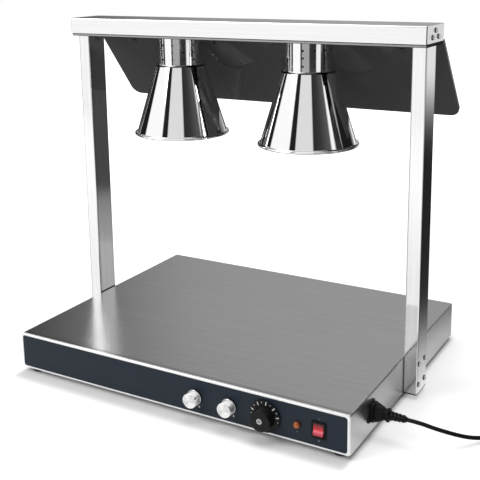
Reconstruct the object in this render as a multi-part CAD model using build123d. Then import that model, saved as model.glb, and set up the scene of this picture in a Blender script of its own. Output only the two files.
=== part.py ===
from build123d import *
import math
import os

# Lengths are in millimetres. X runs right along the front, Y to the back, Z up from the floor.
# The origin is on the floor, midway across and midway from the dial's cap to the back.

# Clearances that every fit uses
FIT = 0.25               # between sheet pieces that slide together
RUN = 0.05               # radial, between a turning piece and its bore
GRIP = 0.02              # radial, between a knob and its shaft
HOLE = 0.2               # radial, round a screw

# Base box
BASE_WIDTH = 610.0
BASE_DEPTH = 478.0
BASE_HEIGHT = 62.0
COVER_SHEET = 1.5
COVER_BEND = 3.0         # outside radius of a fold
LIP_WIDTH = 12.0         # turned-in edge that holds the bottom plate
PANEL_SHEET = 1.2
PANEL_RETURN = 4.0       # folded edge of the front panel that shows
PANEL_TONGUE = 14.0      # tongue that slides inside the cover
OVERLAY_THICK = 0.5
OVERLAY_MARGIN = 3.6
OVERLAY_CORNER = 4.0
PLATE_SHEET = 1.2        # bottom plate
VENT_LENGTH = 36.0
VENT_WIDTH = 5.0
VENT_PITCH = 16.0
VENT_COUNT = 9
FOOT_HEIGHT = 8.0
FOOT_RADIUS = 15.0
FOOT_INSET = 21.0

# Warm plate under the cover
MAT_SIDE = 62.0          # from the base's side to the mat
MAT_FRONT = 95.0
MAT_BACK = 42.0
MAT_THICK = 2.5
PAD_THICK = 12.0
CLAMP_SHEET = 1.0
CLAMP_EDGE = 14.0
CLAMP_STUDS = 3          # studs along each side
SENSOR_RADIUS = 3.0
SENSOR_LENGTH = 90.0
SENSOR_SETBACK = 80.0

# Controls: height above the base's underside, places measured from the base's right side
CONTROL_HEIGHT = 29.0
KNOB_LEFT_PLACE = 256.0
KNOB_RIGHT_PLACE = 195.0
DIAL_PLACE = 133.0
PILOT_PLACE = 81.0
SWITCH_PLACE = 47.0
SHAFT_RADIUS = 3.0
SHAFT_FLAT = 1.6         # from the shaft's axis to its flat
KNOB_RADIUS = 12.0
KNOB_FOOT_RADIUS = 12.7
KNOB_REACH = 17.0
DIMMER_SIDE = 28.0
DIMMER_DEPTH = 14.0
DIMMER_BUSH_RADIUS = 3.5
DIAL_SKIRT_RADIUS = 25.0
DIAL_CAP_RADIUS = 16.6
DIAL_REACH = 20.0
THERMOSTAT_WIDTH = 44.0
THERMOSTAT_HEIGHT = 36.0
THERMOSTAT_DEPTH = 34.0
THERMOSTAT_BUSH_RADIUS = 5.0
POINTER_START = 135.0    # degrees anticlockwise from the top
PILOT_RADIUS = 6.1
PILOT_BODY_RADIUS = 4.8
BEZEL_WIDTH = 22.8
BEZEL_HEIGHT = 26.0
BEZEL_THICK = 2.0
ROCKER_WIDTH = 15.5
ROCKER_HEIGHT = 18.4
ROCKER_TIP = 10.0        # degrees to either side of level
ROCKER_PIN_RADIUS = 1.5
SWITCH_WALL = 1.5
SWITCH_DEPTH = 24.0

# Mains inlet in the right side, and the connector in it
INLET_SETBACK = 78.0
INLET_HEIGHT = 34.0
INLET_WIDTH = 17.0       # the recess
INLET_TALL = 24.6
INLET_DEEP = 16.0
INLET_WALL = 1.5
INLET_FLANGE = 2.2
CONNECTOR_LENGTH = 55.0  # from the base's side to the end of the strain relief
TERMINAL_LENGTH = 40.0
TERMINAL_WIDTH = 20.0
TERMINAL_HEIGHT = 15.0

# Posts and beam; heights above the base's underside
POST_WIDTH = 22.5
POST_DEPTH = 45.0
POST_WALL = 1.2
POST_CORNER = 1.5
POST_SETBACK = 217.5     # from the front panel to the post
HEADROOM = 554.0         # to the underside of the beam
POST_SCREW_SPREAD = 28.0
POST_SCREW_LOW = 16.0
POST_SCREW_HIGH = 51.0
POST_PLUG_DEPTH = 10.0
NUT_PLATE = 4.0
BEAM_OVERHANG = 5.0      # past a post's outer side
BEAM_LEAD = 14.5         # ahead of a post's front
BEAM_DEPTH = 80.0
BEAM_HEIGHT = 27.0
BEAM_SHEET = 1.2
TRAY_DROP = 5.0          # tray strip below the cover
TRAY_FLANGE = 26.0
CAP_SHEET = 1.5
END_SCREW_SPREAD = 27.0
END_SCREW_RISE = 5.0

# Guard behind the beam
GUARD_REACH = 104.5      # from the beam's back to the lower edge
GUARD_DROP = 132.0
GUARD_THICK = 5.0
GUARD_CORNER = 18.0
GUARD_SCREWS = (-261.0, -87.0, 87.0, 261.0)
GUARD_SCREW_DOWN = 22.0  # along the slope
RAIL_SHEET = 1.5
RAIL_LEG = 34.0
RAIL_RISE = 22.0
RAIL_INSET = 30.0        # rail's end short of the guard's end

# Lamps
LAMP_SPACING = 247.0
NECK_RADIUS = 37.0
NECK_HEIGHT = 45.5
NECK_SHEET = 1.0
NECK_LIP = 8.0           # turned-in lower edge
NECK_HOLE_RADIUS = 1.8
NECK_COLUMNS = 12
NECK_HOLE_TURN = 12.0
NECK_ROWS = (0.25, 0.51, 0.79)
SHADE_HEIGHT = 122.5
SHADE_SHEET = 1.0
SHADE_TOP_RADIUS = 43.0
SHADE_SHOULDER = 3.5
SHADE_WALL_RADIUS = 79.0
SHADE_RIM_RADIUS = 83.5
SHADE_RIM_HEIGHT = 5.0
SHADE_BEAD_RADIUS = 2.6
HOLDER_RADIUS = 20.0
HOLDER_LENGTH = 40.0
BULB_CAP_RADIUS = 13.2
BULB_CAP_LENGTH = 26.0
BULB_RADIUS = 47.5
BULB_LENGTH = 137.0
BULB_WALL = 1.2
NIPPLE_RADIUS = 5.0
NIPPLE_BORE_RADIUS = 3.5
RIVET_RADIUS = 1.6

# Cord
CORD_RADIUS = 3.0
COIL_PITCH = 6.9
COIL_INNER = 25.8
COIL_TURNS_IN = 5        # half turns in the lower layer
COIL_TURNS_OUT = 6       # half turns in the upper layer
COIL_SQUEEZE = 1.6       # how far the climb draws in
TIE_THICK = 1.0
TIE_WIDTH = 12.0
PLUG_RADIUS = 18.0
PLUG_LENGTH = 56.0

# Screws: shank radius, head radius, head height
SCREW_M3 = (1.5, 2.8, 1.8)
SCREW_M4 = (2.0, 4.0, 2.3)
NUT_M4 = (7.0, 3.2)      # across flats, height

# Places that follow from the sizes
PANEL_STACK = OVERLAY_THICK + PANEL_SHEET
FRONT = (OVERLAY_THICK + DIAL_REACH - BASE_DEPTH) / 2
FACE = FRONT - OVERLAY_THICK
BACK = FRONT + BASE_DEPTH
SIDE = BASE_WIDTH / 2
BOTTOM = FOOT_HEIGHT
TOP = BOTTOM + BASE_HEIGHT
FLOOR_INSIDE = BOTTOM + PLATE_SHEET
UNDER_TOP = TOP - COVER_SHEET
COVER_FRONT = FRONT + PANEL_RETURN
CONTROL_Z = BOTTOM + CONTROL_HEIGHT
KNOB_LEFT_X = SIDE - KNOB_LEFT_PLACE
KNOB_RIGHT_X = SIDE - KNOB_RIGHT_PLACE
DIAL_X = SIDE - DIAL_PLACE
PILOT_X = SIDE - PILOT_PLACE
SWITCH_X = SIDE - SWITCH_PLACE
INLET_Y = FRONT + INLET_SETBACK
INLET_Z = BOTTOM + INLET_HEIGHT
POST_Y = FRONT + POST_SETBACK + POST_DEPTH / 2
POST_X = SIDE + POST_WIDTH / 2
TRAY_Z = BOTTOM + HEADROOM
COVER_Z = TRAY_Z + TRAY_DROP
BEAM_TOP = COVER_Z + BEAM_HEIGHT
BEAM_HALF = SIDE + POST_WIDTH + BEAM_OVERHANG
BEAM_FRONT = FRONT + POST_SETBACK - BEAM_LEAD
BEAM_BACK = BEAM_FRONT + BEAM_DEPTH
BEAM_Y = (BEAM_FRONT + BEAM_BACK) / 2
LAMP_X = LAMP_SPACING / 2
NECK_Z = TRAY_Z - NECK_HEIGHT
RIM_Z = NECK_Z - SHADE_HEIGHT
MAT_HALF = SIDE - MAT_SIDE
MAT_Y0 = FRONT + MAT_FRONT
MAT_Y1 = BACK - MAT_BACK
CLAMP_Z = UNDER_TOP - MAT_THICK - PAD_THICK
TERMINAL_X = SIDE - 60.0
TERMINAL_Y = FRONT + 70.0

UP = (0, 0, 1)
DOWN = (0, 0, -1)
LEFT = (-1, 0, 0)
RIGHT = (1, 0, 0)
FORWARD = (0, -1, 0)
REAR = (0, 1, 0)
START = (Align.CENTER, Align.CENTER, Align.MIN)


def box(x0, x1, y0, y1, z0, z1):
    """Block between two corners."""
    middle = Pos((x0 + x1) / 2, (y0 + y1) / 2, (z0 + z1) / 2)
    return middle * Box(x1 - x0, y1 - y0, z1 - z0)


def facing(direction, x, y, z):
    """Place for a piece whose own Z points along the direction."""
    across = (0, 1, 0) if abs(direction[0]) > 0.5 else (1, 0, 0)
    return Plane(origin=(x, y, z), x_dir=across, z_dir=direction).location


def rod(radius, z0, z1):
    """Round bar along Z between two heights."""
    return Pos(0, 0, z0) * Cylinder(radius, z1 - z0, align=START)


def turned(*edges):
    """Solid turned about Z from a closed outline of radius and height."""
    return revolve(Plane.XZ * make_face(Curve() + list(edges)), axis=Axis.Z)


def outline(points):
    """Straight lines round a list of points."""
    following = points[1:] + points[:1]
    return [Line(a, b) for a, b in zip(points, following)]


def chain(points):
    """Straight lines along a list of points."""
    return [Line(a, b) for a, b in zip(points, points[1:])]


def edges_where(shape, test):
    """Edges whose middle passes the test."""
    return [edge for edge in shape.edges() if test(edge.center())]


def screw(kind, length):
    """Dome-headed screw with a six-sided socket; the head sits on its own Z zero."""
    shank, head, height = kind
    dome = rod(head, 0, height)
    dome = fillet(edges_where(dome, lambda c: c.Z > height - 0.01), height * 0.6)
    socket = Pos(0, 0, height * 0.4) * extrude(RegularPolygon(head * 0.45, 6), height)
    return dome - socket + rod(shank, -length, 0)


def nut(flats, height, bore):
    """Six-sided nut standing on its own Z zero."""
    return extrude(RegularPolygon(flats / math.sqrt(3), 6) - Circle(bore), height)


def tube(points, radii, radius):
    """Round tube along straight runs with an arc at each corner."""
    path = FilletPolyline(*points, radius=radii)
    start = Vector(*points[0])
    lead = Vector(*points[1]) - start
    return sweep(Plane(origin=start, z_dir=lead) * Circle(radius), path=path), path


def corner_radii(points):
    """Largest arcs that the runs on both sides of each corner leave room for."""
    radii = []
    for before, here, after in zip(points, points[1:], points[2:]):
        run_in = Vector(*here) - Vector(*before)
        run_out = Vector(*after) - Vector(*here)
        half = math.radians(run_in.get_angle(run_out)) / 2
        radii.append(0.45 * min(run_in.length, run_out.length) / math.tan(half))
    return radii


def group(pieces):
    """Separate pieces that share one name."""
    return Compound(children=[solid for piece in pieces for solid in piece.solids()])


def save(name, shape):
    """Write one named piece."""
    export_step(shape, f"parts/{name}.step")


# Base cover: one folded sheet, open below and in front
def folded_box(x, y0, y1, z0, z1, bend):
    block = box(-x, x, y0, y1, z0, z1)
    folds = edges_where(block, lambda c: c.Z > z1 - 0.01 and c.Y > y0 + 0.01)
    folds += edges_where(block, lambda c: abs(c.X) > x - 0.01 and c.Y > y1 - 0.01 and z0 < c.Z < z1 - 1)
    return fillet(folds, bend)


def plate_screw_places():
    """Screws that hold the bottom plate, as X, Y."""
    edge_x = SIDE - COVER_SHEET - LIP_WIDTH / 2
    edge_y = BACK - COVER_SHEET - LIP_WIDTH / 2
    rows = (FRONT + 60, (FRONT + BACK) / 2, BACK - 60)
    places = [(side * edge_x, y) for side in (-1, 1) for y in rows]
    return places + [(-BASE_WIDTH / 4, edge_y), (BASE_WIDTH / 4, edge_y)]


def post_screw_places():
    """Screws through a post, as Y, Z."""
    across = (POST_Y - POST_SCREW_SPREAD / 2, POST_Y + POST_SCREW_SPREAD / 2)
    return [(y, BOTTOM + z) for y in across for z in (POST_SCREW_LOW, POST_SCREW_HIGH)]


def clamp_stud_places():
    """Studs under the top plate, as X, Y."""
    step = (MAT_Y1 - MAT_Y0) / CLAMP_STUDS
    rows = [MAT_Y0 + step * (i + 0.5) for i in range(CLAMP_STUDS)]
    return [(side * (MAT_HALF + CLAMP_EDGE / 2), y) for side in (-1, 1) for y in rows]


CABLE_RADIUS = 2.5
CABLE_Z = BOTTOM + (POST_SCREW_LOW + POST_SCREW_HIGH) / 2 - 2

shell = folded_box(SIDE, COVER_FRONT, BACK, BOTTOM, TOP, COVER_BEND)
room = folded_box(SIDE - COVER_SHEET, COVER_FRONT - 10, BACK - COVER_SHEET, BOTTOM - 10, UNDER_TOP,
                  COVER_BEND - COVER_SHEET)
base_cover = shell - room
lip_y0 = FRONT + PANEL_SHEET + PANEL_TONGUE + 3
lip_z1 = FLOOR_INSIDE + COVER_SHEET
wall_x = SIDE - COVER_SHEET
lip_x = wall_x - LIP_WIDTH
for side in (-1, 1):
    near, far = sorted((side * lip_x, side * wall_x))
    base_cover += box(near, far, lip_y0, BACK - COVER_SHEET, FLOOR_INSIDE, lip_z1)
base_cover += box(-wall_x, wall_x, BACK - COVER_SHEET - LIP_WIDTH, BACK - COVER_SHEET, FLOOR_INSIDE, lip_z1)
for x, y in plate_screw_places():
    base_cover -= Pos(x, y, 0) * rod(SCREW_M3[0] + RUN, FLOOR_INSIDE - 1, lip_z1 + 1)
stud_end = CLAMP_Z - CLAMP_SHEET - NUT_M4[1] - 1.5
for x, y in clamp_stud_places():
    base_cover += Pos(x, y, 0) * rod(SCREW_M4[0], stud_end, UNDER_TOP)
for y, z in post_screw_places():
    base_cover -= facing(RIGHT, 0, y, z) * rod(SCREW_M4[0] + HOLE, -SIDE - 1, SIDE + 1)
base_cover -= facing(RIGHT, wall_x - 1, POST_Y, CABLE_Z) * rod(CABLE_RADIUS + 1.5, 0, COVER_SHEET + 2)
inlet_out_y = INLET_WIDTH + 2 * INLET_WALL
inlet_out_z = INLET_TALL + 2 * INLET_WALL
base_cover -= box(wall_x - 1, SIDE + 1, INLET_Y - inlet_out_y / 2 - FIT, INLET_Y + inlet_out_y / 2 + FIT,
                  INLET_Z - inlet_out_z / 2 - FIT, INLET_Z + inlet_out_z / 2 + FIT)
sensor_y = FRONT + SENSOR_SETBACK
sensor_z = UNDER_TOP - SENSOR_RADIUS - RUN
sensor_x1 = DIAL_X - 25
sensor_x0 = sensor_x1 - SENSOR_LENGTH
saddle = SENSOR_RADIUS + 2
for x in (sensor_x0 + 20, sensor_x1 - 20):
    base_cover += box(x - 5, x + 5, sensor_y - saddle, sensor_y + saddle, sensor_z - saddle, UNDER_TOP)
base_cover -= facing(RIGHT, sensor_x0 - 5, sensor_y, sensor_z) * rod(SENSOR_RADIUS + RUN, 0, SENSOR_LENGTH)
save("base_cover", base_cover)

# Front panel with its cut-outs, and the overlay on it
front_panel = box(-SIDE, SIDE, FRONT, COVER_FRONT, BOTTOM, TOP)
panel_mid = (BOTTOM + TOP) / 2
front_panel = fillet(front_panel.edges().filter_by(Axis.Y), COVER_BEND)
front_panel = fillet(edges_where(front_panel, lambda c: c.Y < FRONT + 0.01), PANEL_SHEET)
front_panel -= box(-SIDE + PANEL_SHEET, SIDE - PANEL_SHEET, FRONT + PANEL_SHEET, COVER_FRONT + 1,
                   BOTTOM + PANEL_SHEET, TOP - PANEL_SHEET)
tongue_x = wall_x - FIT
tongue_z0 = FLOOR_INSIDE + FIT
tongue_z1 = UNDER_TOP - FIT
tongue_y0 = FRONT + PANEL_SHEET
tongue = box(-tongue_x, tongue_x, tongue_y0, tongue_y0 + PANEL_TONGUE, tongue_z0, tongue_z1)
tongue_corners = edges_where(tongue, lambda c: abs(c.X) > tongue_x - 0.01 and c.Z > tongue_z1 - 0.01)
tongue = fillet(tongue_corners, COVER_BEND)
front_panel += tongue - box(-tongue_x + PANEL_SHEET, tongue_x - PANEL_SHEET, tongue_y0, BACK,
                            tongue_z0 + PANEL_SHEET, tongue_z1 - PANEL_SHEET)
overlay_x = SIDE - OVERLAY_MARGIN
overlay_tall = BASE_HEIGHT - 2 * OVERLAY_MARGIN
overlay_skin = extrude(RectangleRounded(2 * overlay_x, overlay_tall, OVERLAY_CORNER), OVERLAY_THICK)
front_overlay = facing(FORWARD, 0, FRONT, panel_mid) * overlay_skin
bezel_body_x = ROCKER_WIDTH + 2 * SWITCH_WALL + 0.5
bezel_body_z = BEZEL_HEIGHT - 2.0
bezel_hole_x = bezel_body_x / 2 + HOLE
bezel_hole_z = bezel_body_z / 2 + HOLE
cuts = [
    facing(FORWARD, KNOB_LEFT_X, FACE, CONTROL_Z) * rod(DIMMER_BUSH_RADIUS + HOLE, -PANEL_STACK - 1, 1),
    facing(FORWARD, KNOB_RIGHT_X, FACE, CONTROL_Z) * rod(DIMMER_BUSH_RADIUS + HOLE, -PANEL_STACK - 1, 1),
    facing(FORWARD, DIAL_X, FACE, CONTROL_Z) * rod(THERMOSTAT_BUSH_RADIUS + HOLE, -PANEL_STACK - 1, 1),
    facing(FORWARD, PILOT_X, FACE, CONTROL_Z) * rod(PILOT_BODY_RADIUS + HOLE, -PANEL_STACK - 1, 1),
    box(SWITCH_X - bezel_hole_x, SWITCH_X + bezel_hole_x, FACE - 1, FRONT + PANEL_SHEET + 1,
        CONTROL_Z - bezel_hole_z, CONTROL_Z + bezel_hole_z),
]
for cut in cuts:
    front_panel -= cut
    front_overlay -= cut
save("front_panel", front_panel)
save("front_overlay", front_overlay)

# Bottom plate with vents and an earth stud, feet, and the screws under the base
plate_x = wall_x - FIT
bottom_plate = box(-plate_x, plate_x, COVER_FRONT + FIT, BACK - COVER_SHEET - FIT, BOTTOM, FLOOR_INSIDE)
plate_corners = edges_where(bottom_plate, lambda c: abs(c.X) > plate_x - 0.01 and c.Y > BACK - 5)
bottom_plate = fillet(plate_corners, COVER_BEND)
vent = extrude(SlotOverall(VENT_LENGTH, VENT_WIDTH, rotation=90), PLATE_SHEET + 2)
for y in (MAT_Y0 + 60, MAT_Y1 - 60):
    for i in range(VENT_COUNT):
        bottom_plate -= Pos((i - (VENT_COUNT - 1) / 2) * VENT_PITCH, y, BOTTOM - 1) * vent
foot_rows = (FRONT + FOOT_INSET, BACK - FOOT_INSET)
foot_places = [(side * (SIDE - FOOT_INSET), y) for side in (-1, 1) for y in foot_rows]
for x, y in plate_screw_places():
    bottom_plate -= Pos(x, y, 0) * rod(SCREW_M3[0] + HOLE, BOTTOM - 1, FLOOR_INSIDE + 1)
for x, y in foot_places:
    bottom_plate -= Pos(x, y, 0) * rod(SCREW_M4[0] + HOLE, BOTTOM - 1, FLOOR_INSIDE + 1)
earth_x = TERMINAL_X - TERMINAL_LENGTH / 2 - 22
bottom_plate += Pos(earth_x, TERMINAL_Y, 0) * rod(SCREW_M4[0], FLOOR_INSIDE, FLOOR_INSIDE + 12)
bottom_plate += Pos(earth_x, TERMINAL_Y, FLOOR_INSIDE) * nut(*NUT_M4, SCREW_M4[0] - 0.1)
save("bottom_plate", bottom_plate)

foot = turned(*outline([(0, 0), (FOOT_RADIUS - 2, 0), (FOOT_RADIUS, FOOT_HEIGHT), (0, FOOT_HEIGHT)]))
foot -= rod(SCREW_M4[1] + 0.6, -1, FOOT_HEIGHT - 3)
foot -= rod(SCREW_M4[0] + HOLE, 0, FOOT_HEIGHT + 1)
save("feet", group([Pos(x, y, 0) * foot for x, y in foot_places]))

underside = [facing(DOWN, x, y, BOTTOM) * screw(SCREW_M3, PLATE_SHEET + COVER_SHEET + 3)
             for x, y in plate_screw_places()]
foot_screw = screw(SCREW_M4, 3 + PLATE_SHEET + NUT_M4[1] + 1)
for x, y in foot_places:
    underside.append(facing(DOWN, x, y, FOOT_HEIGHT - 3) * foot_screw)
    underside.append(Pos(x, y, FLOOR_INSIDE) * nut(*NUT_M4, SCREW_M4[0] + RUN))
save("underside_screws", group(underside))

# Mat, pad and clamp plate under the top
save("heater_mat", box(-MAT_HALF, MAT_HALF, MAT_Y0, MAT_Y1, UNDER_TOP - MAT_THICK, UNDER_TOP))
save("insulation_pad", box(-MAT_HALF, MAT_HALF, MAT_Y0, MAT_Y1, CLAMP_Z, UNDER_TOP - MAT_THICK))
clamp_half = MAT_HALF + CLAMP_EDGE
heater_clamp = box(-clamp_half, clamp_half, MAT_Y0, MAT_Y1, CLAMP_Z - CLAMP_SHEET, CLAMP_Z)
for x, y in clamp_stud_places():
    heater_clamp -= Pos(x, y, 0) * rod(SCREW_M4[0] + HOLE, CLAMP_Z - 5, CLAMP_Z + 1)
save("heater_clamp", heater_clamp)
clamp_nut = nut(*NUT_M4, SCREW_M4[0] + RUN)
clamp_nut_z = CLAMP_Z - CLAMP_SHEET - NUT_M4[1]
save("clamp_nuts", group([Pos(x, y, clamp_nut_z) * clamp_nut for x, y in clamp_stud_places()]))


# Dimmers, thermostat, their shafts and their knobs; own Z runs out of the panel from its face
def control_shaft(inside, flat_from, reach):
    shaft = rod(SHAFT_RADIUS, -inside, reach)
    return shaft - box(-5, 5, SHAFT_FLAT, 5, flat_from, reach + 1)


def control_bore(flat_from, reach):
    bore = rod(SHAFT_RADIUS + GRIP, flat_from, reach)
    return bore - box(-5, 5, SHAFT_FLAT + GRIP, 5, flat_from, reach)


def dimmer():
    back = -PANEL_STACK
    half = DIMMER_SIDE / 2
    body = box(-half, half, -half, half, back - DIMMER_DEPTH, back)
    body = fillet(body.edges().filter_by(Axis.Z), 2)
    body += rod(DIMMER_BUSH_RADIUS, back, 5)
    return body - rod(SHAFT_RADIUS + RUN, back - DIMMER_DEPTH + 3, 6)


def lamp_knob():
    foot_z = 1.0
    knob = turned(*outline([(0, foot_z), (KNOB_FOOT_RADIUS, foot_z), (KNOB_FOOT_RADIUS, foot_z + 1.6),
                            (KNOB_RADIUS, foot_z + 2.4), (KNOB_RADIUS - 0.4, KNOB_REACH), (0, KNOB_REACH)]))
    knob = fillet(edges_where(knob, lambda c: c.Z > KNOB_REACH - 0.01), 0.8)
    knob -= rod(7.2, 0, 5.6)
    knob -= control_bore(5, KNOB_REACH - 3)
    pointer = box(-0.6, 0.6, 2.5, KNOB_RADIUS, KNOB_REACH - 0.5, KNOB_REACH + 1)
    return knob - Rot(0, 0, POINTER_START) * pointer


dimmer_nut = nut(10.0, 2.4, DIMMER_BUSH_RADIUS + RUN)
control_nuts = []
for name, x in (("left", KNOB_LEFT_X), ("right", KNOB_RIGHT_X)):
    spot = facing(FORWARD, x, FACE, CONTROL_Z)
    save(f"dimmer_{name}", spot * dimmer())
    shaft = control_shaft(PANEL_STACK + DIMMER_DEPTH - 4, 5.2, KNOB_REACH - 3.5)
    save(f"dimmer_shaft_{name}", spot * shaft)
    save(f"lamp_knob_{name}", spot * lamp_knob())
    control_nuts.append(spot * dimmer_nut)

dial_spot = facing(FORWARD, DIAL_X, FACE, CONTROL_Z)
control_nuts.append(dial_spot * nut(14.0, 2.4, THERMOSTAT_BUSH_RADIUS + RUN))
save("control_nuts", group(control_nuts))
body_x = THERMOSTAT_WIDTH / 2
body_y = THERMOSTAT_HEIGHT / 2
thermostat_body = box(-body_x, body_x, -body_y, body_y, -PANEL_STACK - THERMOSTAT_DEPTH, -PANEL_STACK)
thermostat_body = fillet(thermostat_body.edges().filter_by(Axis.Z), 3)
thermostat_body += rod(THERMOSTAT_BUSH_RADIUS, -PANEL_STACK, 4)
thermostat_body -= rod(SHAFT_RADIUS + RUN, -PANEL_STACK - 20, 5)
save("thermostat_body", dial_spot * thermostat_body)
save("thermostat_shaft", dial_spot * control_shaft(PANEL_STACK + 19, 5, DIAL_REACH - 3.5))
skirt_z = 1.6
dial_outline = [(0, skirt_z), (DIAL_SKIRT_RADIUS, skirt_z), (DIAL_SKIRT_RADIUS, skirt_z + 1.4),
                (DIAL_CAP_RADIUS + 1.6, skirt_z + 2.6), (DIAL_CAP_RADIUS, DIAL_REACH), (0, DIAL_REACH)]
thermostat_knob = turned(*outline(dial_outline))
thermostat_knob = fillet(edges_where(thermostat_knob, lambda c: c.Z > DIAL_REACH - 0.01), 1.4)
thermostat_knob -= rod(9.6, 0, 6)
thermostat_knob -= control_bore(5, DIAL_REACH - 3)
save("thermostat_knob", dial_spot * thermostat_knob)

sensor = facing(RIGHT, sensor_x0, sensor_y, sensor_z) * rod(SENSOR_RADIUS, 0, SENSOR_LENGTH)
thermostat_back = FRONT + PANEL_SHEET + THERMOSTAT_DEPTH
capillary_points = [(sensor_x1 - 1, sensor_y, sensor_z), (DIAL_X, sensor_y, sensor_z),
                    (DIAL_X, sensor_y, CONTROL_Z + 8), (DIAL_X, thermostat_back, CONTROL_Z + 8)]
capillary, _ = tube(capillary_points, 8, 1.0)
save("thermostat_sensor", sensor + capillary)

# Pilot lamp
pilot_spot = facing(FORWARD, PILOT_X, FACE, CONTROL_Z)
pilot_body = rod(PILOT_BODY_RADIUS, -20, 0) + rod(PILOT_BODY_RADIUS + 2.5, -PANEL_STACK - 4, -PANEL_STACK)
save("pilot_body", pilot_spot * pilot_body)
dome_r = PILOT_RADIUS - 0.5
dome_z = 2.4
dome_top = (0, dome_z + dome_r * 0.75)
pilot_lens = turned(*chain([dome_top, (0, 0), (PILOT_RADIUS, 0), (PILOT_RADIUS, 1.2), (dome_r, 1.2),
                            (dome_r, dome_z)]),
                    TangentArc(dome_top, (dome_r, dome_z), tangent=(1, 0)))
save("pilot_lens", pilot_spot * pilot_lens)

# Rocker switch; the rocker rests with its upper half pressed in
switch_spot = facing(FORWARD, SWITCH_X, FACE, CONTROL_Z)
bezel = extrude(RectangleRounded(BEZEL_WIDTH, BEZEL_HEIGHT, 1.5), BEZEL_THICK)
bezel = fillet(edges_where(bezel, lambda c: c.Z > BEZEL_THICK - 0.01), 0.8)
switch_housing = bezel + box(-bezel_body_x / 2, bezel_body_x / 2, -bezel_body_z / 2, bezel_body_z / 2,
                             -SWITCH_DEPTH, 0)
pocket_x = ROCKER_WIDTH / 2 + 0.25
pocket_z = bezel_body_z / 2 - 1.2
switch_housing -= box(-pocket_x, pocket_x, -pocket_z, pocket_z, -14, BEZEL_THICK + 1)
pivot_z = -3.0
pin_end = bezel_body_x / 2 - 0.3
pin_hole = Pos(0, 0, pivot_z) * Rot(0, 90, 0) * Cylinder(ROCKER_PIN_RADIUS + RUN, 2 * pin_end)
switch_housing -= pin_hole
save("switch_housing", switch_spot * switch_housing)
rocker_half = ROCKER_HEIGHT / 2
crown = BEZEL_THICK + 0.2
tip = crown + rocker_half * math.tan(math.radians(ROCKER_TIP))
rocker_outline = [(0, crown), (rocker_half, tip), (rocker_half, -1), (5, -9), (-5, -9), (-rocker_half, -1),
                  (-rocker_half, tip)]
rocker_face = Plane.YZ * make_face(Curve() + outline(rocker_outline))
switch_rocker = extrude(rocker_face, ROCKER_WIDTH / 2, both=True)
switch_rocker = fillet(edges_where(switch_rocker, lambda c: c.Z > crown + 0.5 and abs(c.X) < 0.1), 0.8)
switch_rocker += Pos(0, 0, pivot_z) * Rot(0, 90, 0) * Cylinder(ROCKER_PIN_RADIUS, 2 * pin_end - 0.4)
pivot = Pos(0, 0, pivot_z)
switch_rocker = pivot * Rot(-ROCKER_TIP, 0, 0) * Pos(0, 0, -pivot_z) * switch_rocker
save("switch_rocker", switch_spot * switch_rocker)

# Mains inlet with its pins, terminal block and wiring
inlet_spot = facing(RIGHT, SIDE, INLET_Y, INLET_Z)
inlet_flange = extrude(RectangleRounded(inlet_out_y + 4, inlet_out_z + 4, 3), INLET_FLANGE)
inlet_floor = INLET_FLANGE - INLET_DEEP
mains_inlet = inlet_flange + box(-inlet_out_y / 2, inlet_out_y / 2, -inlet_out_z / 2, inlet_out_z / 2,
                                 inlet_floor - 4, 0)
mains_inlet -= box(-INLET_WIDTH / 2, INLET_WIDTH / 2, -INLET_TALL / 2, INLET_TALL / 2, inlet_floor, 10)
pin_places = [(-2.0, 7.0), (2.0, 0.0), (-2.0, -7.0)]
pin_length = INLET_DEEP - 4
pins = [Pos(x, y, inlet_floor + pin_length / 2) * Box(4, 2, pin_length) for x, y in pin_places]
save("mains_inlet", group([inlet_spot * mains_inlet] + [inlet_spot * pin for pin in pins]))

terminal_x0 = TERMINAL_X - TERMINAL_LENGTH / 2
terminal_x1 = TERMINAL_X + TERMINAL_LENGTH / 2
terminal_y0 = TERMINAL_Y - TERMINAL_WIDTH / 2
terminal_y1 = TERMINAL_Y + TERMINAL_WIDTH / 2
terminal_top = FLOOR_INSIDE + TERMINAL_HEIGHT
terminal_block = box(terminal_x0, terminal_x1, terminal_y0, terminal_y1, FLOOR_INSIDE, terminal_top)
for i in range(4):
    x = terminal_x0 + (i + 0.5) * TERMINAL_LENGTH / 4
    terminal_block -= Pos(x, TERMINAL_Y, 0) * rod(2, terminal_top - 3, 90)
save("terminal_block", terminal_block)

wire_z = FLOOR_INSIDE + TERMINAL_HEIGHT - 3
inlet_back = SIDE + inlet_floor - 4
inlet_mid = (inlet_back + terminal_x1) / 2
thermostat_side = DIAL_X + THERMOSTAT_WIDTH / 2
gap_mid = (thermostat_side + terminal_x0) / 2 - 4
switch_back = FACE + SWITCH_DEPTH
wire_routes = [
    [(inlet_back, INLET_Y, INLET_Z), (inlet_mid, INLET_Y, INLET_Z), (inlet_mid, INLET_Y, wire_z),
     (terminal_x1, INLET_Y, wire_z)],
    [(terminal_x0, TERMINAL_Y - 4, wire_z), (gap_mid, TERMINAL_Y - 4, wire_z), (gap_mid, FRONT + 25, wire_z),
     (thermostat_side, FRONT + 25, wire_z)],
    [(SWITCH_X, terminal_y0, wire_z), (SWITCH_X, (terminal_y0 + switch_back) / 2, wire_z),
     (SWITCH_X, (terminal_y0 + switch_back) / 2, CONTROL_Z), (SWITCH_X, switch_back, CONTROL_Z)],
    [(TERMINAL_X - 8, terminal_y1, wire_z), (TERMINAL_X - 8, MAT_Y0 + 14, wire_z),
     (TERMINAL_X - 8, MAT_Y0 + 14, CLAMP_Z - CLAMP_SHEET)],
]
save("supply_wires", group([tube(route, 4, 1.5)[0] for route in wire_routes]))

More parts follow.
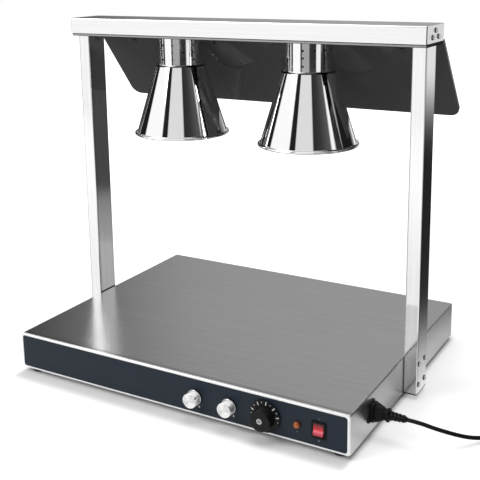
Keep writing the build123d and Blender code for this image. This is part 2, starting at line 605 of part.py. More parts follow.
cable_beam_y = BEAM_Y + 20
cable_beam_z = TRAY_Z + BEAM_SHEET + 10
cable_x0 = TERMINAL_X + 8
cable_route = [(cable_x0, terminal_y1, wire_z - 3), (cable_x0, MAT_Y0 + 26, wire_z - 3),
               (cable_x0, MAT_Y0 + 26, CABLE_Z), (cable_x0, POST_Y, CABLE_Z), (POST_X, POST_Y, CABLE_Z),
               (POST_X, POST_Y, cable_beam_z), (POST_X - 40, cable_beam_y, cable_beam_z),
               (12 - LAMP_X, cable_beam_y, cable_beam_z),
               (-LAMP_X, BEAM_Y + NIPPLE_RADIUS + 3, cable_beam_z)]
cable_radii = [6, 6, 7, 7, 8, 12, 12]
lamp_cable, _ = tube(cable_route, cable_radii, CABLE_RADIUS)
save("lamp_cable", lamp_cable)


# Posts, their plugs and screws
def post(side):
    wall = RectangleRounded(POST_WIDTH, POST_DEPTH, POST_CORNER)
    hollow = RectangleRounded(POST_WIDTH - 2 * POST_WALL, POST_DEPTH - 2 * POST_WALL, 0.6)
    lower = BOTTOM + 2
    piece = Pos(side * POST_X, POST_Y, lower) * extrude(wall - hollow, TRAY_Z - lower)
    for y, z in post_screw_places():
        piece -= facing(RIGHT, side * POST_X, y, z) * rod(SCREW_M4[0] + HOLE, -POST_WIDTH, POST_WIDTH)
    if side > 0:
        piece -= facing(RIGHT, SIDE - 1, POST_Y, CABLE_Z) * rod(CABLE_RADIUS + 1.5, 0, POST_WALL + 2)
    return piece


def top_screw_places(side):
    """Screws from the beam into a post's upper plug, as X, Y."""
    return [(side * POST_X, POST_Y + step) for step in (-13, 13)]


plug_x = POST_WIDTH / 2 - POST_WALL - FIT
plug_y = POST_DEPTH / 2 - POST_WALL - FIT
post_plugs = []
nut_plates = []
post_screws = []
top_screws = []
for side in (-1, 1):
    name = "left" if side < 0 else "right"
    save(f"post_{name}", post(side))
    sole = extrude(RectangleRounded(POST_WIDTH, POST_DEPTH, POST_CORNER), 2)
    stub = box(-plug_x, plug_x, -plug_y, plug_y, 2, 2 + POST_PLUG_DEPTH)
    post_plugs.append(Pos(side * POST_X, POST_Y, BOTTOM) * (sole + stub))
    crown_plug = box(-plug_x, plug_x, -plug_y, plug_y, TRAY_Z - 16, TRAY_Z)
    crown_plug -= rod(CABLE_RADIUS + 1.5, TRAY_Z - 20, TRAY_Z + 5)
    crown_plug = Pos(side * POST_X, POST_Y, 0) * crown_plug
    for x, y in top_screw_places(side):
        crown_plug -= Pos(x, y, 0) * rod(SCREW_M4[0] + RUN, TRAY_Z - 14, TRAY_Z + 1)
        top_screws.append(facing(UP, x, y, TRAY_Z + BEAM_SHEET) * screw(SCREW_M4, 12))
    post_plugs.append(crown_plug)
    outward = RIGHT if side > 0 else LEFT
    near, far = sorted((side * wall_x, side * (wall_x - NUT_PLATE)))
    plate = box(near, far, POST_Y - POST_DEPTH / 2, POST_Y + POST_DEPTH / 2, BOTTOM + POST_SCREW_LOW - 8,
                BOTTOM + POST_SCREW_HIGH + 6)
    for y, z in post_screw_places():
        plate -= facing(RIGHT, 0, y, z) * rod(SCREW_M4[0] + RUN, -SIDE, SIDE)
        length = POST_WIDTH + COVER_SHEET + NUT_PLATE + 1
        post_screws.append(facing(outward, side * (SIDE + POST_WIDTH), y, z) * screw(SCREW_M4, length))
    if side > 0:
        cable_way = rod(CABLE_RADIUS + 1.5, 0, NUT_PLATE + 2)
        plate -= facing(RIGHT, wall_x - NUT_PLATE - 1, POST_Y, CABLE_Z) * cable_way
    nut_plates.append(plate)
save("post_plugs", group(post_plugs))
save("nut_plates", group(nut_plates))
save("post_screws", group(post_screws))
save("post_top_screws", group(top_screws))

# Beam: folded cover, tray below it, end caps on brackets
span = BEAM_HALF - CAP_SHEET
beam_cover = box(-span, span, BEAM_FRONT, BEAM_BACK, COVER_Z, BEAM_TOP)
beam_cover = fillet(edges_where(beam_cover, lambda c: c.Z > BEAM_TOP - 0.01 and abs(c.X) < 1), 2.2)
beam_room = box(-span - 1, span + 1, BEAM_FRONT + BEAM_SHEET, BEAM_BACK - BEAM_SHEET, COVER_Z - 1,
                BEAM_TOP - BEAM_SHEET)
room_folds = edges_where(beam_room, lambda c: c.Z > BEAM_TOP - BEAM_SHEET - 0.01 and abs(c.X) < 1)
beam_room = fillet(room_folds, 1.0)
beam_cover -= beam_room
tray_y0 = BEAM_FRONT + BEAM_SHEET + FIT
tray_y1 = BEAM_BACK - BEAM_SHEET - FIT
tray_floor = TRAY_Z + BEAM_SHEET
beam_tray = box(-span, span, tray_y0, tray_y1, TRAY_Z, TRAY_Z + TRAY_FLANGE)
beam_tray = fillet(edges_where(beam_tray, lambda c: c.Z < TRAY_Z + 0.01 and abs(c.X) < 1), 1.8)
beam_tray -= box(-span - 1, span + 1, tray_y0 + BEAM_SHEET, tray_y1 - BEAM_SHEET, tray_floor, BEAM_TOP)
for side in (-1, 1):
    beam_tray -= Pos(side * LAMP_X, BEAM_Y, 0) * rod(NIPPLE_RADIUS + HOLE, TRAY_Z - 1, tray_floor + 1)
    beam_tray -= Pos(side * POST_X, POST_Y, 0) * rod(CABLE_RADIUS + 2.5, TRAY_Z - 1, tray_floor + 1)
    for x, y in top_screw_places(side):
        beam_tray -= Pos(x, y, 0) * rod(SCREW_M4[0] + HOLE, TRAY_Z - 1, tray_floor + 1)

slope = math.atan2(GUARD_REACH, GUARD_DROP)
guard_normal = (0, math.cos(slope), math.sin(slope))
guard_root = (0, BEAM_BACK + 0.5, COVER_Z - 1)
guard_plane = Plane(origin=guard_root, x_dir=(1, 0, 0), z_dir=guard_normal)
guard_length = math.hypot(GUARD_REACH, GUARD_DROP)
rail_z = BEAM_TOP - 8
for x in GUARD_SCREWS:
    hole = facing(REAR, x, BEAM_BACK, rail_z)
    beam_cover -= hole * rod(SCREW_M4[0] + HOLE, -BEAM_SHEET - 0.1, 1)
    beam_tray -= hole * rod(SCREW_M4[0] + RUN, -10, -BEAM_SHEET)
save("beam_cover", beam_cover)
save("beam_tray", beam_tray)

cap_mid = (COVER_Z + BEAM_TOP) / 2
end_places = [(BEAM_Y - END_SCREW_SPREAD / 2, cap_mid - END_SCREW_RISE),
              (BEAM_Y + END_SCREW_SPREAD / 2, cap_mid - END_SCREW_RISE), (BEAM_Y, cap_mid + END_SCREW_RISE)]
brackets = []
end_screws = []
for side in (-1, 1):
    name = "left" if side < 0 else "right"
    outward = RIGHT if side > 0 else LEFT
    near, far = sorted((side * span, side * BEAM_HALF))
    cap = box(near, far, BEAM_FRONT, BEAM_BACK, COVER_Z, BEAM_TOP)
    cap = fillet(edges_where(cap, lambda c: c.Z > BEAM_TOP - 0.01 and abs(c.Y - BEAM_Y) > 1), 2.2)
    cap = fillet(edges_where(cap, lambda c: abs(c.X) > BEAM_HALF - 0.01), 0.5)
    near, far = sorted((side * span, side * (span - 2)))
    bracket_y = (tray_y1 - tray_y0) / 2 - BEAM_SHEET - FIT
    bracket = box(near, far, BEAM_Y - bracket_y, BEAM_Y + bracket_y, tray_floor, BEAM_TOP - BEAM_SHEET - 1)
    near, far = sorted((side * (span - 2), side * (span - 5)))
    bracket += box(near, far, BEAM_Y - bracket_y, BEAM_Y + bracket_y, tray_floor, tray_floor + 2)
    for y, z in end_places:
        cap -= facing(outward, side * span, y, z) * rod(SCREW_M4[0] + HOLE, -1, CAP_SHEET + 1)
        bracket -= facing(outward, side * span, y, z) * rod(SCREW_M4[0] + RUN, -4, 1)
        end_screws.append(facing(outward, side * BEAM_HALF, y, z) * screw(SCREW_M4, CAP_SHEET + 3))
    brackets.append(bracket)
    save(f"beam_end_cap_{name}", cap)
save("beam_end_brackets", group(brackets))
save("beam_end_screws", group(end_screws))

# Guard, the rail that carries it, and their screws; the guard's own Y runs down the slope
guard = box(-BEAM_HALF, BEAM_HALF, 0, guard_length, 0, GUARD_THICK)
guard_corners = edges_where(guard, lambda c: abs(c.X) > BEAM_HALF - 0.01 and c.Y > guard_length - 0.01)
guard = fillet(guard_corners, GUARD_CORNER)
for x in GUARD_SCREWS:
    guard -= Pos(x, GUARD_SCREW_DOWN, 0) * rod(SCREW_M4[0] + HOLE, -1, GUARD_THICK + 1)
save("sneeze_guard", guard_plane.location * guard)


def sloped(down, out):
    """Point as Y, Z from its place along the guard and out of its rear face."""
    spot = guard_plane.from_local_coords((0, down, GUARD_THICK + out))
    return spot.Y, spot.Z


def rail_corner(out):
    """Where the guard's rear face, moved out, meets the beam's back moved out as far."""
    y, z = sloped(0, out)
    rise = (y - BEAM_BACK - out) / math.tan(slope)
    return BEAM_BACK + out, z + rise


rail_top = BEAM_TOP - 1
rail_outline = [(BEAM_BACK, rail_top), rail_corner(0), sloped(RAIL_LEG, 0), sloped(RAIL_LEG, RAIL_SHEET),
                rail_corner(RAIL_SHEET), (BEAM_BACK + RAIL_SHEET, rail_top)]
rail_face = Plane.YZ * make_face(Curve() + outline(rail_outline))
guard_rail = extrude(rail_face, BEAM_HALF - RAIL_INSET, both=True)
guard_screws = []
for x in GUARD_SCREWS:
    seat = guard_plane.location * Pos(x, GUARD_SCREW_DOWN, 0)
    guard_rail -= seat * rod(SCREW_M4[0] + HOLE, 0, GUARD_THICK + RAIL_SHEET + 1)
    guard_rail -= facing(REAR, x, BEAM_BACK, rail_z) * rod(SCREW_M4[0] + HOLE, -1, RAIL_SHEET + 1)
    length = GUARD_THICK + RAIL_SHEET + NUT_M4[1] + 1
    guard_screws.append(seat * Rot(180, 0, 0) * screw(SCREW_M4, length))
    guard_screws.append(seat * Pos(0, 0, GUARD_THICK + RAIL_SHEET) * nut(*NUT_M4, SCREW_M4[0] + RUN))
    guard_screws.append(facing(REAR, x, BEAM_BACK + RAIL_SHEET, rail_z) * screw(SCREW_M4, 8))
save("guard_rail", guard_rail)
save("guard_screws", group(guard_screws))


# Lamps; each is drawn about its own upright axis
def rivet_places():
    radius = NECK_RADIUS - NECK_SHEET - NECK_LIP / 2 + 0.5
    angles = [math.radians(a) for a in (15, 135, 255)]
    return [(radius * math.cos(a), radius * math.sin(a)) for a in angles]


lip_radius = NECK_RADIUS - NECK_LIP


def lamp_neck():
    neck = rod(NECK_RADIUS, NECK_Z, TRAY_Z)
    neck -= rod(NECK_RADIUS - NECK_SHEET, NECK_Z + NECK_SHEET, TRAY_Z - NECK_SHEET)
    neck -= rod(lip_radius, NECK_Z - 1, NECK_Z + 2)
    neck -= rod(NIPPLE_RADIUS + HOLE, TRAY_Z - 2, TRAY_Z + 1)
    drills = []
    for share in NECK_ROWS:
        for i in range(NECK_COLUMNS // 2):
            turn = Rot(0, 0, NECK_HOLE_TURN + 360 * i / NECK_COLUMNS) * Rot(0, 90, 0)
            spot = Pos(0, 0, TRAY_Z - share * NECK_HEIGHT)
            drills.append(spot * turn * Cylinder(NECK_HOLE_RADIUS, 4 * NECK_RADIUS))
    neck -= drills
    for x, y in rivet_places():
        neck -= Pos(x, y, 0) * rod(RIVET_RADIUS + RUN, NECK_Z - 1, NECK_Z + 2)
    return neck


def lamp_shade():
    top = NECK_Z
    flare_z = RIM_Z + SHADE_RIM_HEIGHT
    bead_r = SHADE_RIM_RADIUS - SHADE_BEAD_RADIUS
    bead_z = RIM_Z + SHADE_BEAD_RADIUS
    lean = math.atan2(SHADE_WALL_RADIUS - SHADE_TOP_RADIUS, top - flare_z)
    inset = SHADE_SHEET / math.cos(lean)
    shoulder_out = (SHADE_TOP_RADIUS, top)
    shoulder_in = (SHADE_TOP_RADIUS + SHADE_SHEET * math.tan(lean) - inset, top - SHADE_SHEET)
    flare_out = (SHADE_WALL_RADIUS, flare_z)
    flare_in = (SHADE_WALL_RADIUS - inset, flare_z - 0.4)
    skin_outline = [(lip_radius, top), shoulder_out, flare_out, (bead_r + 0.5, bead_z + 1.2),
                    (bead_r - 0.7, bead_z + 0.6), flare_in, shoulder_in, (lip_radius, top - SHADE_SHEET)]
    skin = make_face(Curve() + outline(skin_outline))
    for corner, radius in ((shoulder_out, SHADE_SHOULDER), (shoulder_in, SHADE_SHOULDER - SHADE_SHEET),
                           (flare_out, 1.2), (flare_in, 2.0)):
        spot = Vector(*corner)
        skin = fillet([v for v in skin.vertices() if (v.center() - spot).length < 0.01], radius)
    shade = revolve(Plane.XZ * skin, axis=Axis.Z)
    shade += turned(CenterArc((bead_r, bead_z), SHADE_BEAD_RADIUS, 0, 360))
    for x, y in rivet_places():
        shade -= Pos(x, y, 0) * rod(RIVET_RADIUS + RUN, top - 2, top + 1)
    return shade


def lampholder():
    top = TRAY_Z - NECK_SHEET
    low = top - HOLDER_LENGTH
    neck = HOLDER_RADIUS - 5
    holder = turned(*outline([(0, low), (HOLDER_RADIUS, low), (HOLDER_RADIUS, top - 14), (neck, top - 10),
                              (neck, top), (0, top)]))
    holder -= rod(BULB_CAP_RADIUS + 0.3, low - 1, low + BULB_CAP_LENGTH + 2)
    return holder - rod(NIPPLE_RADIUS + RUN, low, top + 1)


def bulb_form(wall):
    """Bulb drawn in by the wall all round."""
    holder_low = TRAY_Z - NECK_SHEET - HOLDER_LENGTH
    cap_top = holder_low + BULB_CAP_LENGTH - 1 - wall
    cap_low = holder_low - 1
    front = cap_top - BULB_LENGTH + 2 * wall
    waist = front + 34 - wall
    cap = BULB_CAP_RADIUS - wall
    stem = cap + 1.2
    body = BULB_RADIUS - wall
    return turned(*chain([(0, front), (0, cap_top), (cap - 4, cap_top), (cap, cap_top - 4), (cap, cap_low),
                          (stem, cap_low - 2)]),
                  Spline([(stem, cap_low - 2), (stem + 9, cap_low - 26), (body, waist)],
                         tangents=[(0.15, -1), (0, -1)]),
                  Spline([(body, waist), (body - 12, front + 8), (0, front)], tangents=[(0, -1), (-1, 0)]))


def bulb():
    filler = rod(2, TRAY_Z - NECK_SHEET - HOLDER_LENGTH, TRAY_Z)
    return bulb_form(0) - bulb_form(BULB_WALL) - filler


def nipple():
    pipe = rod(NIPPLE_RADIUS, TRAY_Z - NECK_SHEET - 10, tray_floor + 9)
    return pipe - rod(NIPPLE_BORE_RADIUS, 0, BEAM_TOP)


nipples = []
rivets = []
for side in (-1, 1):
    name = "left" if side < 0 else "right"
    axis = Pos(side * LAMP_X, BEAM_Y, 0)
    save(f"lamp_neck_{name}", axis * lamp_neck())
    save(f"lamp_shade_{name}", axis * lamp_shade())
    save(f"lampholder_{name}", axis * lampholder())
    save(f"bulb_{name}", axis * bulb())
    nipples.append(axis * nipple())
    nipples.append(axis * Pos(0, 0, tray_floor) * nut(15.0, 4.0, NIPPLE_RADIUS + RUN))
    for x, y in rivet_places():
        shank = rod(RIVET_RADIUS, NECK_Z - SHADE_SHEET - 1, NECK_Z + NECK_SHEET + 1)
        heads = rod(2.8, NECK_Z - SHADE_SHEET - 1, NECK_Z - SHADE_SHEET)
        heads += rod(2.8, NECK_Z + NECK_SHEET, NECK_Z + NECK_SHEET + 1)
        rivets.append(axis * Pos(x, y, 0) * (shank + heads))
save("lamp_nipples", group(nipples))
save("shade_rivets", group(rivets))


# Connector in the inlet; own Z runs out of the base's side
def ribbed_relief(z0, z1, start, end, count):
    """Strain relief that tapers from start to end, with rings."""
    relief = turned(*outline([(0, z0), (start, z0), (end, z1), (0, z1)]))
    pitch = (z1 - z0) / (count + 0.5)
    for i in range(count):
        z = z0 + (i + 0.7) * pitch
        ring = start + (end - start) * (z - z0) / (z1 - z0) + 1.1
        relief += rod(ring, z - pitch * 0.28, z + pitch * 0.28)
    return relief


def section(z, wide, tall, corner):
    """Rounded outline of the connector at a distance from the base's side."""
    return Pos(0, 0, z) * RectangleRounded(wide, tall, corner)


relief_z = CONNECTOR_LENGTH - 25
block_z = INLET_FLANGE + 0.3
nose = box(-INLET_WIDTH / 2 + 0.3, INLET_WIDTH / 2 - 0.3, -INLET_TALL / 2 + 0.3, INLET_TALL / 2 - 0.3,
           inlet_floor + 0.8, INLET_FLANGE + 1)
for x, y in pin_places:
    nose -= Pos(x, y, inlet_floor + pin_length / 2) * Box(4.4, 2.4, pin_length + 0.6)
block = extrude(section(block_z, 19.5, 28.0, 3), 5.5)
groove = extrude(section(block_z, 15.5, 22.0, 4), 9)
grip = loft([section(block_z + 7.5, 18.0, 27.0, 4.5), section(block_z + 18, 15.0, 19.0, 5)])
waist = extrude(section(block_z + 8, 13.5, 16.5, 5), relief_z - block_z - 8)
stop = extrude(section(relief_z - 4.5, 16.5, 20.0, 6.5), 4.5)
stop = fillet(edges_where(stop, lambda c: abs(c.Z - relief_z + 2.25) > 2.2), 1.2)
relief = ribbed_relief(relief_z - 1, CONNECTOR_LENGTH, 6.0, 4.2, 4)
save("cord_connector", inlet_spot * (nose + block + groove + grip + waist + stop + relief))

# Cord from the connector to the floor, then the coil
coil_low = TIE_THICK + 0.3 + CORD_RADIUS
coil_x = SIDE + 212.0
coil_y = FRONT + 196.0
coil_start = COIL_INNER + COIL_TURNS_IN * COIL_PITCH / 2
lead_x = coil_x - coil_start
cord_points = [
    (SIDE + CONNECTOR_LENGTH, INLET_Y, INLET_Z),
    (SIDE + 74.0, INLET_Y, INLET_Z),
    (SIDE + 95.0, INLET_Y + 6.0, INLET_Z - 6.5),
    (SIDE + 113.0, INLET_Y + 19.0, INLET_Z - 15.0),
    (SIDE + 128.0, INLET_Y + 37.0, INLET_Z - 25.5),
    (SIDE + 143.0, INLET_Y + 58.0, INLET_Z - 34.5),
    (lead_x - 5.0, coil_y - 37.0, coil_low + 0.4),
    (lead_x, coil_y - 18.0, coil_low),
    (lead_x, coil_y - 2 * CORD_RADIUS, coil_low),
]
cord_radii = corner_radii(cord_points)
power_cord, cord_path = tube(cord_points, cord_radii, CORD_RADIUS)
save("power_cord", power_cord)


def coil_stations():
    """Ends of the half turns: radius and height, in along the lower layer and out along the upper."""
    upper = coil_low + COIL_PITCH
    stations = [(coil_start - i * COIL_PITCH / 2, coil_low) for i in range(COIL_TURNS_IN + 1)]
    stations.append((COIL_INNER - COIL_SQUEEZE, upper))
    stations += [(COIL_INNER + i * COIL_PITCH / 2, upper) for i in range(1, COIL_TURNS_OUT + 1)]
    return stations


coil_edges = [Line((lead_x, coil_y - 2 * CORD_RADIUS, coil_low), (lead_x, coil_y, coil_low))]
previous = None
for i, (radius, z) in enumerate(coil_stations()):
    side = -1 if i % 2 == 0 else 1
    here = Vector(coil_x + side * radius, coil_y, z)
    if previous is not None:
        heading = Vector(0, side, 0)
        across = here - previous
        middle = (here + previous) * 0.5 + heading * (across.length / 2)
        coil_edges.append(TangentArc(previous, middle, tangent=heading))
        coil_edges.append(TangentArc(middle, here, tangent=across))
    previous = here
plug_z = PLUG_RADIUS + 0.2
rise_end = Vector(previous.X, previous.Y + 54, plug_z)
climb = rise_end - previous
rise_mid = (previous + rise_end) * 0.5
coil_edges.append(TangentArc(previous, rise_mid, tangent=(0, 1, 0)))
coil_edges.append(TangentArc(rise_end, rise_mid, tangent=(0, -1, 0)))
coil_end = rise_end + Vector(0, 2 * CORD_RADIUS, 0)
coil_edges.append(Line(rise_end, coil_end))
coil_path = Wire(coil_edges)
coil_face = Plane(origin=(lead_x, coil_y - 2 * CORD_RADIUS, coil_low), z_dir=(0, 1, 0)) * Circle(CORD_RADIUS)
cord_coil = sweep(coil_face, path=coil_path)
save("cord_coil", cord_coil)

# Tie round the coil's right side, and the plug beside the coil
tie_x0 = coil_x + COIL_INNER - CORD_RADIUS - 1.2
tie_x1 = coil_x + COIL_INNER + (COIL_TURNS_OUT - 1) * COIL_PITCH / 2 + CORD_RADIUS + 0.3
tie_z0 = TIE_THICK
tie_z1 = coil_low + COIL_PITCH + CORD_RADIUS + 0.3
tie_half = TIE_WIDTH / 2
tie_outer = box(tie_x0 - TIE_THICK, tie_x1 + TIE_THICK, -tie_half, tie_half, 0, tie_z1 + TIE_THICK)
tie_outer = fillet(tie_outer.edges().filter_by(Axis.Y), 2)
tie_inner = box(tie_x0, tie_x1, -TIE_WIDTH, TIE_WIDTH, tie_z0, tie_z1)
tie_inner = fillet(tie_inner.edges().filter_by(Axis.Y), 1)
save("cord_tie", Pos(0, coil_y, 0) * (tie_outer - tie_inner))

plug_relief = ribbed_relief(0, 20, 4.2, 6.5, 3)
plug_flare = Spline([(8.5, 20), (12.5, 28), (PLUG_RADIUS, 37)], tangents=[(0.5, 1), (0.3, 1)])
plug_sides = chain([(PLUG_RADIUS, 37), (PLUG_RADIUS, PLUG_LENGTH), (0, PLUG_LENGTH), (0, 20), (8.5, 20)])
plug_body = turned(plug_flare, *plug_sides)
plug_body = fillet(edges_where(plug_body, lambda c: c.Z > PLUG_LENGTH - 0.01), 1.2)
plug_pins = [Pos(x, 0, 0) * rod(2.4, PLUG_LENGTH, PLUG_LENGTH + 19) for x in (-9.5, 9.5)]
plug_spot = facing(REAR, coil_end.X, coil_end.Y, coil_end.Z)
save("mains_plug", group([plug_spot * (plug_relief + plug_body)] + [plug_spot * pin for pin in plug_pins]))

# Measured back for the report
area = math.pi * CORD_RADIUS ** 2
print("cord radii", [round(r, 1) for r in cord_radii])
print("cord length", round(cord_path.length, 1), "volume over section", round(power_cord.volume / area, 1))
print("coil length", round(coil_path.length, 1), "volume over section", round(cord_coil.volume / area, 1))
samples = [coil_path.position_at(i / 1600) for i in range(1601)]
step = coil_path.length / 1600
skip = int(4 * CORD_RADIUS / step) + 1
closest = min((samples[i] - samples[j]).length for i in range(0, 1601) for j in range(i + skip, 1601))
print("coil gap to itself", round(closest - 2 * CORD_RADIUS, 2))
print("lead length", round(cord_path.length + coil_path.length, 1))
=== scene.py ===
"""Finishes, small pieces and stage for a buffet food warmer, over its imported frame."""
import math

import bpy
from bpy.props import FloatProperty, FloatVectorProperty, PointerProperty
from mathutils import Matrix, Vector


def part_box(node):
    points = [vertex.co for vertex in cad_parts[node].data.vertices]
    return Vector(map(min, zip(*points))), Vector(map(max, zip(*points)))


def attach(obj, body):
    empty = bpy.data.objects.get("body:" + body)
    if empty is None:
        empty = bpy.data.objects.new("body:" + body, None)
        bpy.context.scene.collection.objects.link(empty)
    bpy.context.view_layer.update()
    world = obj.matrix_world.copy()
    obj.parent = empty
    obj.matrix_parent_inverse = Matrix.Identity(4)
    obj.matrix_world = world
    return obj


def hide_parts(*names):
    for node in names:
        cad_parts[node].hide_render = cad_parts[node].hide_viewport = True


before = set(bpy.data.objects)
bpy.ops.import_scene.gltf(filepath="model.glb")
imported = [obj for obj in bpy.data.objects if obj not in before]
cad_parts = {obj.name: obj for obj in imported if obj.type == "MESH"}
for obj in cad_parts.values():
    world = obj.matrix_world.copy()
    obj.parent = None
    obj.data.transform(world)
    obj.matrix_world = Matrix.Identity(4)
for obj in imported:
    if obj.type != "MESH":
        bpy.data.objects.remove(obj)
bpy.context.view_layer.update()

bl_info = {
    "name": "Buffet food warmer",
    "version": (1, 0, 0),
    "blender": (4, 5, 0),
    "location": "View3D > Sidebar > Warmer",
    "description": "Dresses the packed food warmer and sets up its studio",
    "category": "Object",
}

MM = 0.001
TURN = 2 * math.pi
QUARTER = TURN / 4
BLACK = (0.0, 0.0, 0.0)
WHITE = (1.0, 1.0, 1.0)
# Colour of narrow gaps between sheets and of lines of painted shade
GAP_AND_SHADE = (0.012, 0.012, 0.012)
# Rounding of a printed mark's edge
PRINT_EDGE = 0.05 * MM
# Height at which the posts pass the plate's edge
PLATE_EDGE = 70.4 * MM
# Distance from the middle at which the sockets of post screws and beam end screws begin
POST_SOCKET = 328.45 * MM
BEAM_SOCKET = 333.45 * MM
# Height of the screws that are in the beam, not in the base
BEAM_SCREWS = 300.0 * MM
# Height at which a bulb's glass meets its cap
BULB_CAP = 519.0 * MM
# Place between the two supply wires
WIRE_SPLIT = 235.0 * MM


def colour(name, description, default):
    """A colour that a user may change."""
    return FloatVectorProperty(name=name, description=description, subtype="COLOR", size=3, min=0.0, max=1.0,
                               default=default)


def length(name, description, default):
    """A length in metres that a user may change."""
    return FloatProperty(name=name, description=description, unit="LENGTH", min=0.0, precision=5,
                         default=default)


def amount(name, description, default, top=1.0):
    """A plain amount that a user may change."""
    return FloatProperty(name=name, description=description, subtype="FACTOR", min=0.0, max=top,
                         default=default)


class WarmerFinishes(bpy.types.PropertyGroup):
    """Colours and gloss of the finishes"""
    steel: colour("Steel", "Brushed stainless sheet", (0.62, 0.62, 0.62))
    polished: colour("Polished steel", "Mirror finish of necks and shades", (0.96, 0.96, 0.96))
    aluminium: colour("Aluminium", "Turned lamp knobs", (0.88, 0.88, 0.88))
    zinc: colour("Zinc", "Plated screws and inside sheet", (0.56, 0.57, 0.58))
    overlay: colour("Overlay", "Skin of the control panel", (0.02, 0.0275, 0.04))
    black: colour("Black plastic", "Dial, switch frame, plug and connector", (0.006, 0.006, 0.0064))
    guard: colour("Guard", "Smoked sheet of the guard", (0.072, 0.072, 0.074))
    amber: colour("Amber", "Pilot lamp's lens", (0.5, 0.12, 0.02))
    red: colour("Red", "Rocker of the switch", (0.62, 0.025, 0.035))
    print_white: colour("Print", "Printed marks", (0.82, 0.82, 0.8))
    copper: colour("Copper", "Sensor and its tube", (0.86, 0.45, 0.27))
    plate_roughness: amount("Plate roughness", "Blur of reflections in the warm plate", 0.22)
    post_roughness: amount("Post roughness", "Blur of reflections in posts and beam", 0.1)


class WarmerSizes(bpy.types.PropertyGroup):
    """Sizes of the pieces that are made here"""
    tick_length: length("Tick length", "Long mark on the dial's skirt", 5.2 * MM)
    tick_width: length("Tick width", "Width of a long mark", 1.5 * MM)
    dot_radius: length("Dot radius", "Round mark beside a lamp knob", 1.4 * MM)
    print_thick: length("Print thickness", "How thick a printed mark is", 0.2 * MM)
    cord_diameter: length("Cord diameter", "Mains cord", 6.0 * MM)
    cord_length: length("Cord length", "Mains cord from connector to plug", 1.546)
    strap_thick: length("Strap thickness", "Strap round the cord's coil", 1.0 * MM)


class WarmerStudio(bpy.types.PropertyGroup):
    """Camera and light"""
    lens: FloatProperty(name="Lens", description="Focal length in millimetres", default=66.971)
    shift: FloatProperty(name="Shift", description="Upward shift of the lens", default=-0.18)
    fill: amount("Fill", "Level of the light from all round", 0.42, 4.0)
    key: FloatProperty(name="Key", description="Power of the large soft lamp", default=54.0)
    floor_lift: amount("Floor lift", "How far open floor is raised towards white", 0.43)


def rgba(value):
    """Three colour values with full alpha."""
    return (*value, 1.0)


def grey(level):
    """A colour without a tint."""
    return (level, level, level)


def shaded(tint, factor):
    """A colour made lighter or darker."""
    return tuple(min(1.0, c * factor) for c in tint)


def arithmetic(kind, turned=False):
    """A Python operator that adds a Math node."""
    def apply(self, other=0.0):
        pair = (other, self) if turned else (self, other)
        return self.graph.math(kind, *pair)
    return apply


class Signal:
    """Output of a shader node that takes part in Python arithmetic."""

    def __init__(self, graph, socket):
        self.graph = graph
        self.socket = socket

    __add__ = arithmetic("ADD")
    __radd__ = arithmetic("ADD", turned=True)
    __sub__ = arithmetic("SUBTRACT")
    __rsub__ = arithmetic("SUBTRACT", turned=True)
    __mul__ = arithmetic("MULTIPLY")
    __rmul__ = arithmetic("MULTIPLY", turned=True)
    __gt__ = arithmetic("GREATER_THAN")
    __lt__ = arithmetic("LESS_THAN")
    __abs__ = arithmetic("ABSOLUTE")


class Graph:
    """Nodes of one material or of the world."""

    def __init__(self, tree):
        self.tree = tree
        tree.nodes.clear()

    def add(self, kind, values=None, settings=None, out=0):
        """Add a node: its settings first, then the values or links of its sockets."""
        node = self.tree.nodes.new(f"ShaderNode{kind}")
        for key, setting in (settings or {}).items():
            setattr(node, key, setting)
        for key, value in (values or {}).items():
            if isinstance(value, Signal):
                self.tree.links.new(value.socket, node.inputs[key])
            else:
                node.inputs[key].default_value = value
        return Signal(self, node.outputs[out]) if len(node.outputs) else None

    def math(self, operation, first, second=0.0):
        """Two values through one Math node."""
        return self.add("Math", {0: first, 1: second}, {"operation": operation})

    def larger(self, first, second):
        """The larger of two values."""
        return self.math("MAXIMUM", first, second)

    def coords(self, kind="Object"):
        """Texture coordinates."""
        return self.add("TexCoord", out=kind)

    def part(self, vector, axis):
        """One part of a vector or colour."""
        return self.add("SeparateXYZ", {0: vector}, out=axis)

    def ramp(self, value, stops):
        """Colour by a value, from pairs of place and colour."""
        signal = self.add("ValToRGB", {0: value})
        elements = signal.socket.node.color_ramp.elements
        while len(elements) < len(stops):
            elements.new(1.0)
        for element, (place, shade) in zip(elements, stops):
            element.position = place
            element.color = rgba(shade)
        return signal

    def span(self, value, low, high, first=0.0, last=1.0):
        """Smooth change from first to last while the value goes from low to high."""
        values = {"Value": value, "From Min": low, "From Max": high, "To Min": first, "To Max": last}
        return self.add("MapRange", values, {"interpolation_type": "SMOOTHSTEP"})

    def mix(self, factor, first, second):
        """Colour between two colours."""
        pair = [c if isinstance(c, Signal) else rgba(c) for c in (first, second)]
        return self.add("Mix", {0: factor, 6: pair[0], 7: pair[1]}, {"data_type": "RGBA"}, out=2)

    def path(self, kind):
        """What is known of the ray that meets the surface."""
        return self.add("LightPath", out=kind)

    def pictured(self):
        """One for rays from the camera or through clear things, else zero."""
        rays = self.path("Is Camera Ray") + self.path("Is Transmission Ray")
        return self.add("Clamp", {"Value": rays})


